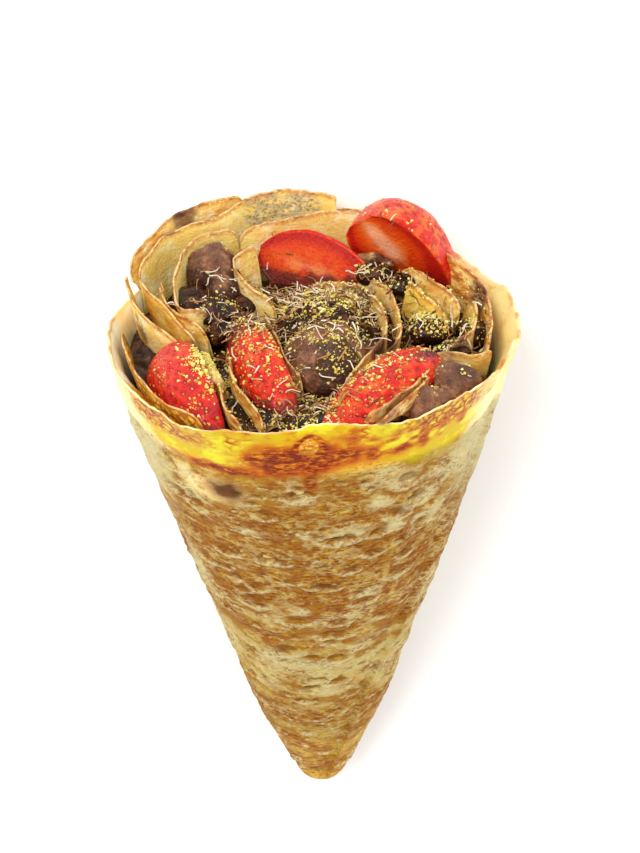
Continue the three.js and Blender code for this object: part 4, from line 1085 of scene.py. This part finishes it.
def strawberry(name, middle, to_tip, cut_facing, length, width, depth, blunt, heart=1.0,
               heart_at=0.5):
    """Half a strawberry: a domed skin with a dimple at each seed, and a smooth cut face with a
    pale heart. Returns the piece, and the seeds' places and the directions that they face."""
    along = np.array(to_tip, float)
    along /= np.linalg.norm(along)
    out = np.array(cut_facing, float)
    out -= along * out.dot(along)
    out /= np.linalg.norm(out)
    across = np.cross(out, along)
    ends = 0.5 - 0.5 * np.cos(np.linspace(0.06, math.pi - 0.06, BERRY_ROWS))
    shares = BERRY_END + ends * (1 - 2 * BERRY_END)
    swell = np.sin(math.pi * shares**1.3) ** blunt

    def on_skin(share, angle):
        """A place on the domed skin, by its share of the length and its angle round it."""
        size = np.sin(math.pi * np.clip(share, BERRY_END, 1 - BERRY_END) ** 1.3) ** blunt
        aside = width / 2 * size * np.cos(angle)
        raised = depth * size**0.85 * np.abs(np.sin(angle)) ** 0.7
        return (np.array(middle) + np.multiply.outer(length * (0.5 - share), along)
                + np.multiply.outer(aside, across) - np.multiply.outer(raised, out))

    seeds = []
    for row, share in enumerate(np.arange(0.06, 0.96, SEED_SPACING * 0.8 / length)):
        size = math.sin(math.pi * share**1.3) ** blunt
        count = max(2, int(math.pi * (width / 2 + depth) / 2 * size / SEED_SPACING))
        for spot in range(count):
            angle = math.pi * (spot + 0.5 + 0.5 * (row % 2) - 0.25) / count
            if 0.1 < angle < math.pi - 0.1:
                seeds.append((share + random.normal(0, 0.004), angle + random.normal(0, 0.03)))
    seed_share, seed_angle = np.array(seeds).T
    seed_place = on_skin(seed_share, seed_angle)
    step = 1e-3
    slope_a = on_skin(seed_share, seed_angle + step) - seed_place
    slope_b = on_skin(seed_share + step, seed_angle) - seed_place
    facing = np.cross(slope_b, slope_a)
    facing /= np.maximum(np.linalg.norm(facing, axis=1)[:, None], 1e-12)
    body = np.array(middle) - out * depth * 0.3
    facing *= np.sign(np.sum(facing * (seed_place - body), axis=1))[:, None]

    rows = []
    fields = {"cut": [], "core": [], "ripe": []}
    for share, size in zip(shares, swell):
        angles = np.linspace(0, math.pi, SKIN_POINTS)
        skin = on_skin(np.full(SKIN_POINTS, share), angles)
        aside = np.linspace(-1, 1, CUT_POINTS + 2)[1:-1]
        ripple = -0.5 * size * (1 - aside**4)
        cut = (np.array(middle) + along * length * (0.5 - share)
               + np.multiply.outer(aside * width / 2 * size, across)
               + np.multiply.outer(ripple, out))
        rows.append(np.vstack([skin, cut]))
        fields["cut"].append(np.concatenate([np.zeros(SKIN_POINTS), np.ones(CUT_POINTS)]))
        reach = np.hypot(aside * 1.15, max(0.0, abs(share - heart_at) * 2 - 0.2) * 1.3)
        core = 1 - heart * (1 - np.minimum(reach, 1))
        fields["core"].append(np.concatenate([np.ones(SKIN_POINTS), core]))
        ripe = np.interp(share, (0, 0.5, 1), RIPENESS[name])
        fields["ripe"].append(np.full(SKIN_POINTS + CUT_POINTS, ripe))
    points = np.concatenate(rows)
    cut = np.concatenate(fields["cut"])
    middle_of = body + np.multiply.outer((points - body) @ along, along)
    outward = points - middle_of
    outward /= np.maximum(np.linalg.norm(outward, axis=1)[:, None], 1e-9)
    nearest = np.full(len(points), 99.0)
    for spot in seed_place:
        nearest = np.minimum(nearest, np.linalg.norm(points - spot, axis=1))
    dimple = bell(nearest, 0, 1.05) * (1 - cut)
    swellings = 0.45 * uneven(points, 6, 21) * (1 - cut) + 0.12 * uneven(points, 4, 22) * cut
    points = points + outward * (0.35 * (1 - cut) - 0.6 * dimple + swellings)[:, None]
    points = kept_inside(points, OFF_WALL)
    stain = 0.8 * ramp(points[:, 2] + 1.5 * uneven(points, 3, 23), -2, -7)
    if name == "strawberry_middle":
        stain = np.maximum(stain, ramp(points[:, 1] + 2 * uneven(points, 4, 24), -14, -8))
        stain = np.maximum(stain, 0.8 * bell(points[:, 1], -35, 4) * ramp(points[:, 0], -6, -2))
    if name == "strawberry_right":
        start, run = np.array([34, -19, 2]), np.array([-14, -15, -2])
        along_run = np.clip((points - start) @ run / (run @ run), 0, 1)
        off = np.linalg.norm(points - start - np.multiply.outer(along_run, run), axis=1)
        stain = np.maximum(stain, ramp(off + 1.2 * uneven(points, 3, 25), 2.8, 1.2))
    if name == "strawberry_back":
        stain = np.maximum(stain, 0.8 * ramp(points[:, 2] + 1.5 * uneven(points, 3, 26), 1.5, -2))
    fields = {"cut": cut, "core": np.concatenate(fields["core"]), "dimple": dimple,
              "ripe": np.concatenate(fields["ripe"]), "stain": stain}

    columns = SKIN_POINTS + CUT_POINTS
    faces = grid_faces(BERRY_ROWS, columns, around=True).tolist()
    points = close_ends(points, faces, BERRY_ROWS, columns)
    for key, values in fields.items():
        fields[key] = np.append(values, [values[:columns].mean(), values[-columns:].mean()])
    piece = make_piece(f"{name}_halved", points, faces, fields, FINISH["berry"])
    return piece, seed_place - facing * 0.42, facing


# ---------------------------------------------------------------- chocolate


RIBS_AROUND = 22  # fine ribs that the spoon left on one lump of cream


def lump(middle, radii, phase, seed, detail=5, ribs=0.0, crumbly=1.0):
    """A soft lump of chocolate: a ball drawn out to its radii, with dents and crumbs."""
    ball = bmesh.new()
    bmesh.ops.create_icosphere(ball, subdivisions=detail, radius=1)
    points = np.array([corner.co for corner in ball.verts])
    faces = [[corner.index for corner in face.verts] for face in ball.faces]
    ball.free()
    dents = 0.05 * np.sin(5 * points[:, 0] + phase)
    dents += 0.05 * np.sin(6 * points[:, 1] - 2 * points[:, 2] + phase)
    swollen = points * (1 + dents)[:, None] * np.array(radii)
    rough = 0.7 * uneven(swollen, 5, seed) + 0.45 * crumbly * uneven(swollen, 2, seed + 1)
    rough += 0.25 * crumbly * uneven(swollen, 0.9, seed + 2)
    around = np.arctan2(points[:, 1], points[:, 0])
    rough += ribs * np.sin(RIBS_AROUND * around + 3 * uneven(points, 0.8, seed + 3))
    return swollen + points * rough[:, None] + np.array(middle), faces


# Each mass of cream is one lump or two: middle, half sizes and the phase of its dents.
CREAMS = {
    "chocolate_cream_left": [
        ((-27, 25.5, 0), (8.4, 9, 9.5), 0.4), ((-24.5, 15.5, -2.5), (6, 6, 8), 1.9)],
    "chocolate_cream_middle": [((4.6, -14, -5), (11.6, 13.6, 8.5), 0.9)],
    "chocolate_cream_right": [
        ((37, -29.5, -6.5), (7.4, 8, 8.5), 2.6), ((30, -38.4, -7.5), (7, 8.6, 8), 3.8)],
}


def cream(name, lumps):
    """One mass of chocolate cream, darker where sauce has run over it."""
    parts = []
    for place, (middle, radii, phase) in enumerate(lumps):
        ribs = 0.22 if name == "chocolate_cream_left" and place == 0 else 0.0
        seed = 40 + 5 * place + len(name)
        parts.append(lump(middle, radii, phase, seed, ribs=ribs, crumbly=0.55))
    points, faces = joined(parts)
    points = kept_inside(points, OFF_WALL)
    shade = 0.55 + 0.35 * uneven(points, 6, 60) - 0.6 * ramp(points[:, 2], -3, -9)
    if name == "chocolate_cream_left":
        shade -= 0.55 * ramp(points[:, 2] + 2 * uneven(points, 3, 61), 8, 4)
    if name == "chocolate_cream_middle":
        off = np.hypot(points[:, 0] - 10, points[:, 1] + 24)
        shade -= 0.55 * ramp(off + 3 * uneven(points, 3, 61), 10, 6)
    return make_piece(f"{name}_piped", points, faces, {"shade": shade}, FINISH["cream"])


# Pools and dollops of melted chocolate between the pieces: middle and half sizes, in mm.
POOLS = [
    ((-32.5, 12, 0.2), (5.5, 9, 3)), ((-27, 6.5, -0.6), (8, 6, 2.8)), ((-25, -1, -3), (4, 5, 3.4)),
    ((20, 21.5, 2), (6, 4, 3.4)), ((26, 16, 1.2), (5, 4, 3)), ((38.5, -13.5, -4), (5, 5, 3)),
    ((-31, -17, -4.5), (5, 4, 3)), ((3, -42, -7), (10, 6, 3)), ((-17, 14, -1), (5, 6, 3)),
    ((37, 17, -2), (4, 4, 2.6)), ((33, -2, -2.5), (6, 6, 3.4)), ((45, -3, -3.5), (4, 6, 3.2)),
]


def chocolate_sauce():
    """Glossy melted chocolate, in soft pools with drawn-out edges."""
    points, faces = joined(
        lump(middle, radii, place * 1.7, 90 + 4 * place, detail=4, crumbly=0.2)
        for place, (middle, radii) in enumerate(POOLS))
    points = kept_inside(points, OFF_WALL)
    return make_piece("chocolate_sauce", points, faces, finish=FINISH["sauce"])


def filling_top(x, y):
    """The height of the filling, which is mounded in the middle."""
    mound = 8.5 * np.exp(-((x - 4) ** 2 + (y - 10) ** 2) / 300)
    return mound - 6.5 + 1.2 * np.sin(x / 6 + 1) * np.cos(y / 7)


def filling():
    """The dark filling: a glossy, rough top and the sides down to the bottom of the cavity."""
    around, top_rings = 200, 92
    angles = np.arange(around) / around * TURN
    inset = 0.9

    def on_wall(depth, share):
        """A ring just inside the crepe, drawn in to the given share."""
        pinched = np.minimum(0, mouth_flare(angles, depth))
        radius = (cone_radius(depth) - WALL + pinched - inset) * share
        front = np.minimum(radius * np.sin(angles), floor_behind(-depth) - WALL - inset)
        return np.stack([radius * np.cos(angles), front, np.full(around, -depth)], axis=-1)

    rows = [on_wall(depth, 1) for depth in (CAVITY_DEPTH - inset, 80, 56, 36, 22, 13)]
    for share in np.linspace(0.985, 0.012, top_rings):
        ring = on_wall(8, share)
        ring[:, 2] = filling_top(ring[:, 0], ring[:, 1])
        ring[:, 2] += 0.9 * uneven(ring, 5, 70) + 0.6 * uneven(ring, 2.2, 71)
        rows.append(ring)
    faces = grid_faces(len(rows), around, around=True).tolist()
    points = close_ends(np.concatenate(rows), faces, len(rows), around)
    return make_piece("chocolate_bed", points, faces, finish=FINISH["sauce"])


# ---------------------------------------------------------------- making the cone

crepe_wrap()

carriers = []
for name, (corners, how, look) in SHEETS.items():
    piece = crepe_sheet(name, corners, look=look, **how)
    belongs(piece, "pistachio" if name == "crepe_crumbed" else "crepe_sheet", name)
    carriers.append(piece)

seed_places, seed_facings, seed_lies = [], [], []
for name, berry in BERRIES.items():
    piece, places, facings = strawberry(name, **berry)
    belongs(piece, "strawberry", name)
    carriers.append(piece)
    seed_places.append(places)
    seed_facings.append(facings)
    seed_lies.append(np.tile(berry["to_tip"], (len(places), 1)))

for name, lumps in CREAMS.items():
    piece = cream(name, lumps)
    belongs(piece, "chocolate_cream", name)
    carriers.append(piece)

carriers.append(belongs(filling(), "chocolate_filling", "filling"))
carriers.append(belongs(chocolate_sauce(), "chocolate_filling"))

# ---------------------------------------------------------------- seeds and toppings

SEED_LENGTH = 1.15 * MM
CRUMB_SIZE = 0.72 * MM  # of a middling crumb
CRUMB_CLUMPS = 1500
CLUMP_MOST = 10  # a clump has fewer crumbs than this
SHORT_SHREDS = 1100
SHRED_RADIUS = 0.17 * MM
DROP_HEIGHT = 45  # mm above the mouth
TOPPED_RADIUS = 53.5  # mm; what falls further out misses the mouth


def spots_mesh(name, places, facings, lies, **numbers):
    """Loose points for a tree to grow on, in the table's frame, with the direction that each
    faces, the direction that it lies along and other numbers of its own."""
    mesh = bpy.data.meshes.new(name)
    mesh.from_pydata(np.asarray(places).tolist(), [], [])
    for field_name, values in (("facing", facings), ("lie", lies)):
        mesh.attributes.new(field_name, "FLOAT_VECTOR", "POINT").data.foreach_set(
            "vector", np.asarray(values, np.float32).ravel())
    for field_name, values in numbers.items():
        mesh.attributes.new(field_name, "FLOAT", "POINT").data.foreach_set(
            "value", np.asarray(values, np.float32))
    return mesh


def scatter_tree(name, kind):
    """Sets a small shape on each point, turned to face out and along its own line, makes it
    real and bends it with a noise, so that no two are alike."""
    tree, given, result = new_tree(name, {
        "Length": ("NodeSocketFloat", 0.001), "Thickness": ("NodeSocketFloat", 0.001),
        "Bend": ("NodeSocketFloat", 0.0), "Bend Size": ("NodeSocketFloat", 0.005),
        "Seed": ("NodeSocketInt", 5)})
    size = add(tree, "GeometryNodeInputNamedAttribute", {"data_type": "FLOAT"}, {"Name": "size"})
    length = add(tree, "ShaderNodeMath", {"operation": "MULTIPLY"}, {
        0: given.outputs["Length"], 1: size.outputs[0]}).outputs[0]
    if kind == "strand":
        # The profile is one unit in radius; the scale gives the strand its true thickness.
        line = add(tree, "GeometryNodeCurvePrimitiveLine", {}, {
            "Start": (-0.5, 0, 0), "End": (0.5, 0, 0)})
        line = add(tree, "GeometryNodeResampleCurve", {}, {"Curve": line.outputs[0], "Count": 10})
        profile = add(tree, "GeometryNodeCurvePrimitiveCircle", {}, {
            "Resolution": 4, "Radius": 1.0})
        shape = add(tree, "GeometryNodeCurveToMesh", {}, {
            "Curve": line.outputs[0], "Profile Curve": profile.outputs[0], "Fill Caps": True})
        scale = add(tree, "ShaderNodeCombineXYZ", {}, {
            0: length, 1: given.outputs["Thickness"], 2: given.outputs["Thickness"]})
    elif kind == "seed":
        shape = add(tree, "GeometryNodeMeshUVSphere", {}, {
            "Radius": 0.5, "Segments": 8, "Rings": 5})
        sides = add(tree, "ShaderNodeCombineXYZ", {}, {0: 1.0, 1: 0.62, 2: 0.5})
    else:
        shape = add(tree, "GeometryNodeMeshIcoSphere", {}, {"Radius": 0.5, "Subdivisions": 1})
        sides = add(tree, "FunctionNodeRandomValue", {"data_type": "FLOAT_VECTOR"}, {
            0: (0.7, 0.5, 0.45), 1: (1.4, 1.0, 0.9), "Seed": given.outputs["Seed"]})
    if kind != "strand":
        scale = add(tree, "ShaderNodeVectorMath", {"operation": "SCALE"}, {
            0: sides.outputs[0], "Scale": length})
    facing, lie = (
        add(tree, "GeometryNodeInputNamedAttribute", {"data_type": "FLOAT_VECTOR"}, {"Name": field})
        for field in ("facing", "lie"))
    stood = add(tree, "FunctionNodeAlignRotationToVector", {"axis": "Z"}, {
        "Vector": facing.outputs[0]})
    turned = add(tree, "FunctionNodeAlignRotationToVector", {"axis": "X", "pivot_axis": "Z"}, {
        "Rotation": stood.outputs[0], "Vector": lie.outputs[0]})
    set_down = add(tree, "GeometryNodeInstanceOnPoints", {}, {
        "Points": given.outputs["Geometry"], "Instance": shape.outputs[0],
        "Rotation": turned.outputs[0], "Scale": scale.outputs[0]})
    real = add(tree, "GeometryNodeRealizeInstances", {}, {0: set_down.outputs[0]})
    noise = add(tree, "ShaderNodeTexNoise", {}, {
        "Vector": add(tree, "ShaderNodeVectorMath", {"operation": "DIVIDE"}, {
            0: add(tree, "GeometryNodeInputPosition").outputs[0],
            1: given.outputs["Bend Size"]}).outputs[0], "Scale": 1.0, "Detail": 1.0})
    centred = add(tree, "ShaderNodeVectorMath", {"operation": "SUBTRACT"}, {
        0: noise.outputs["Color"], 1: (0.5, 0.5, 0.5)})
    bent = add(tree, "GeometryNodeSetPosition", {}, {
        "Geometry": real.outputs[0],
        "Offset": add(tree, "ShaderNodeVectorMath", {"operation": "SCALE"}, {
            0: centred.outputs[0], "Scale": given.outputs["Bend"]}).outputs[0]})
    smooth = add(tree, "GeometryNodeSetShadeSmooth", {}, {
        "Geometry": bent.outputs[0], "Shade Smooth": kind != "crumb"})
    painted = add(tree, "GeometryNodeSetMaterial", {}, {
        "Geometry": smooth.outputs[0], "Material": given.outputs["Finish"]})
    tree.links.new(painted.outputs[0], result.inputs[0])
    return tree


def to_table(directions):
    """Directions of the cone's frame, of length one, in the table's frame."""
    turned = laid(directions) - laid(np.zeros((1, 3)))
    return turned / np.linalg.norm(turned, axis=1)[:, None]


seed_places, seed_facings = np.vstack(seed_places), np.vstack(seed_facings)
spots = spots_mesh(
    "seed spots", laid(seed_places), to_table(seed_facings), to_table(np.vstack(seed_lies)),
    size=random.uniform(0.85, 1.15, len(seed_places)), shade=random.random(len(seed_places)))
seeds = grow("strawberry_seeds", scatter_tree("strawberry seeds", "seed"), spots,
             length=SEED_LENGTH, finish=FINISH["seed"])
belongs(seeds, "strawberry")

corners, sides = [], []
for piece in carriers:
    start = len(corners)
    corners += [corner.co.copy() for corner in piece.data.vertices]
    sides += [[start + index for index in face.vertices] for face in piece.data.polygons]
CARRIERS = BVHTree.FromPolygons(corners, sides)
MOUTH_UP = to_table(np.array([[0, 0, 1.0]]))[0]


def landing(spots, lift, draw):
    """Drops things from above the mouth at the given x and y. Returns which ones land on the
    filling or what stands in it, their places, facings and the lines that they lie along."""
    landed, places, facings, lies = [], [], [], []
    for place, (x, y) in enumerate(spots):
        start = Vector(laid([[x, y, DROP_HEIGHT]])[0])
        hit, normal, _, _ = CARRIERS.ray_cast(start, Vector(-MOUTH_UP))
        if hit is None or np.hypot(x, y) > TOPPED_RADIUS:
            continue
        if normal.dot(Vector(MOUTH_UP)) < 0:
            normal = -normal
        normal = (normal + Vector(MOUTH_UP) * 0.3).normalized()
        landed.append(place)
        places.append(hit + normal * lift * MM)
        facings.append(normal)
        lies.append(Vector(draw.normal(0, 1, 3)))
    return np.array(landed), np.array(places), np.array(facings), np.array(lies)


def sprinkle(masses, count, draw):
    """Random spots, denser where the masses say. A mass is x, y, two half sizes and a weight."""
    masses = np.array(masses)
    weights = masses[:, 4] * masses[:, 2] * masses[:, 3]
    picked = masses[draw.choice(len(masses), count, p=weights / weights.sum())]
    return picked[:, :2] + draw.normal(0, 1, (count, 2)) * picked[:, 2:4]


CRUMB_MASSES = [
    (6, -8, 11, 14, 0.5), (0, 9, 12, 4, 1.5), (12, 11, 8, 3.5, 1.4), (-29, -27, 4, 8, 0.4),
    (-13, -14, 4, 9, 0.6), (24, -32, 7, 7, 0.4), (-26.6, -24, 2.2, 5, 7.0), (31, 4, 3, 5, 1.6),
    (38, -8, 5, 4, 0.9), (14, 17, 9, 4, 0.9), (-18, -36, 4, 6, 0.2), (0, 0, 24, 24, 0.04),
    (5, -30, 8, 5, 0.6), (-20, -4, 3, 4, 0.3), (-2, -43, 9, 4, 0.7), (33, -2, 5, 5, 1.0),
    (45, -3, 3, 5, 0.5),
]
SHRED_MASSES = [
    (2, 12, 13, 5, 1.0), (14, 8, 7, 6, 0.9), (-8, 2, 5, 6, 0.8), (8, -10, 11, 12, 0.3),
    (20, 15, 4, 3, 1.0), (-22, -3, 4, 4, 1.4), (0, 0, 24, 24, 0.03), (36, -10, 7, 6, 0.3),
    (-14, 26, 3, 5, 0.2), (-3, -38, 9, 6, 0.8), (-30, 4, 4, 5, 0.3), (-14, -4, 4, 5, 0.9),
    (36, 2, 6, 6, 0.4), (0, 17, 7, 3, 1.2),
]
# Long pale shreds that stand out: x, y, length in mm, and the line each lies along.
LONG_SHREDS = [
    (-19.5, 34, 15, (0.25, 1, 0.4)), (-24, 15, 8, (1, 0.05, 0)), (-22.5, 13, 7, (1, -0.3, 0.2)),
    (12.5, 34, 9, (1, -0.35, 0)), (14, 20, 11, (0.8, -0.7, 0)), (42, -6.5, 12, (0.5, 0.6, 0.5)),
    (40, 12, 7, (0.4, 1, 0.3)), (31, 14, 9, (0.6, 0.9, 0.4)), (26, 12, 12, (0.3, -1, 0)),
    (-33, -8, 9, (0.3, -0.8, 0.5)), (12.5, -13, 9, (0.15, 0.9, 0.5)), (-5, -20, 9, (0.2, 1, 0.2)),
    (12, -26, 9, (0.7, -0.6, 0)), (-9, -33, 8, (0.6, 0.8, 0.1)), (2, 14, 10, (0.8, -0.8, 0.2)),
    (-12, -3, 10, (1, 0.15, 0)), (-16, -10, 9, (0.2, 1, 0.2)), (5, -34, 8, (0.3, 1, 0.3)),
    (-20, -34, 7, (0.5, 0.9, 0.2)), (-41, 14, 6, (1, 0.2, 0)), (30, -4, 8, (0.1, 1, 0)),
]

draw = np.random.default_rng(82)
clumps = np.repeat(sprinkle(CRUMB_MASSES, CRUMB_CLUMPS, draw),
                   draw.integers(1, CLUMP_MOST, CRUMB_CLUMPS), axis=0)
_, places, facings, lies = landing(clumps + draw.normal(0, 0.75, clumps.shape), 0.12, draw)
spots = spots_mesh(
    "crumb spots", places, facings, lies,
    size=0.4 + 1.3 * draw.random(len(places)) ** 3, shade=draw.random(len(places)))
crumbs = grow("pistachio_crumbs", scatter_tree("pistachio crumbs", "crumb"), spots,
              length=CRUMB_SIZE, bend=0.35 * MM, bend_size=0.35 * MM, seed=6,
              finish=FINISH["pistachio"])
belongs(crumbs, "pistachio")

draw = np.random.default_rng(84)
_, places, facings, lies = landing(sprinkle(SHRED_MASSES, SHORT_SHREDS, draw), 0.3, draw)
tilted = facings + draw.normal(0, 0.4, facings.shape)
tilted /= np.linalg.norm(tilted, axis=1)[:, None]
kept, long_places, long_facings, _ = landing([shred[:2] for shred in LONG_SHREDS], 0.7, draw)
long_lies = to_table(np.array([LONG_SHREDS[place][3] for place in kept]))
count = len(places)
spots = spots_mesh(
    "shred spots", np.vstack([places, long_places]), np.vstack([tilted, long_facings]),
    np.vstack([lies, long_lies]),
    size=[*(2.2 + 4.5 * draw.random(count) ** 1.7), *(LONG_SHREDS[place][2] for place in kept)],
    shade=[*draw.random(count) ** 1.15, *(1.0 for _ in kept)])
shreds = grow("kadaif_shreds", scatter_tree("kadaif shreds", "strand"), spots,
              length=1.0 * MM, thickness=SHRED_RADIUS, bend=5.0 * MM, bend_size=5.5 * MM, seed=7,
              finish=FINISH["kadaif"])
belongs(shreds, "kadaif")

# ---------------------------------------------------------------- table, light and camera


TABLE_REACH = 3.0  # metres to each side
WORLD_LIGHT = 0.86
# Name, place in metres, side in metres and watts.
SOFTBOXES = [
    ("key_softbox", (-0.25, 0.45, 0.85), 0.3, 4.3),
    ("fill_softbox", (0.3, -0.1, 0.95), 0.6, 1.0),
    ("left_softbox", (-0.75, 0.1, 0.28), 0.4, 1.5),
    ("right_softbox", (0.75, 0.1, 0.28), 0.4, 1.7),
    ("low_softbox", (0.1, 0.9, 0.35), 0.4, 0.8),
]


def studio():
    """A white table top, an even white world and five soft boxes that face the cone."""
    table = bpy.data.meshes.new("table")
    ways = ((-1, -1), (1, -1), (1, 1), (-1, 1))
    table.from_pydata([(TABLE_REACH * x, TABLE_REACH * y, 0) for x, y in ways], [], [(0, 1, 2, 3)])
    finish = bpy.data.materials.new("white_laminate")
    finish.use_nodes = True
    tree = finish.node_tree
    tree.nodes.clear()
    mottle = add(tree, "ShaderNodeTexNoise", {}, {
        "Vector": add(tree, "ShaderNodeTexCoord").outputs["Object"], "Scale": 3.0})
    colour = add(tree, "ShaderNodeMix", {"data_type": "RGBA"}, {
        0: mottle.outputs["Fac"], 6: linear("#F7F7F6"), 7: linear("#FCFCFB")})
    surface = add(tree, "ShaderNodeBsdfPrincipled", {}, {
        "Base Color": colour.outputs[2], "Roughness": 0.6})
    add(tree, "ShaderNodeOutputMaterial", {}, {"Surface": surface.outputs[0]})
    table.materials.append(finish)
    floor = bpy.data.objects.new("table_top", table)
    bpy.context.scene.collection.objects.link(floor)

    world = bpy.data.worlds.new("studio")
    world.use_nodes = True
    backdrop = world.node_tree.nodes["Background"].inputs
    backdrop["Color"].default_value = linear("#FFFFFF")
    backdrop["Strength"].default_value = WORLD_LIGHT
    bpy.context.scene.world = world
    aim = Vector((0, 0, 0.05))
    for name, place, side, power in SOFTBOXES:
        light = bpy.data.lights.new(name, "AREA")
        light.shape, light.size, light.energy = "SQUARE", side, power
        lamp = bpy.data.objects.new(name, light)
        lamp.location = place
        lamp.rotation_euler = (aim - Vector(place)).to_track_quat("-Z", "Y").to_euler()
        bpy.context.scene.collection.objects.link(lamp)


def camera():
    """Looks down on the cone from in front of its mouth, a little turned about its own axis."""
    place = (0.0, -386.35, 217.79)
    elevation, turned, roll = math.radians(33.23), math.radians(0.3457), math.radians(-1.298)
    level = math.cos(elevation)
    ahead = np.array([math.sin(turned) * level, math.cos(turned) * level, -math.sin(elevation)])
    right = np.cross(ahead, [0, 0, 1])
    right /= np.linalg.norm(right)
    up = np.cross(right, ahead)
    right, up = (math.cos(roll) * right + math.sin(roll) * up,
                 math.cos(roll) * up - math.sin(roll) * right)
    turn = Matrix.Rotation(LIE_ANGLE - math.pi / 2, 3, "X")
    lens = bpy.data.cameras.new("camera")
    lens.lens, lens.sensor_width, lens.sensor_fit = 67.8, 36.0, "AUTO"
    lens.clip_start, lens.clip_end = 0.02, 20
    seen = bpy.data.objects.new("camera", lens)
    axes = turn @ Matrix(np.stack([right, up, -ahead], axis=1).tolist())
    seen.matrix_world = Matrix.Translation(laid([place])[0]) @ axes.to_4x4()
    bpy.context.scene.collection.objects.link(seen)
    bpy.context.scene.camera = seen


studio()
camera()
bpy.context.scene.view_settings.view_transform = "Standard"
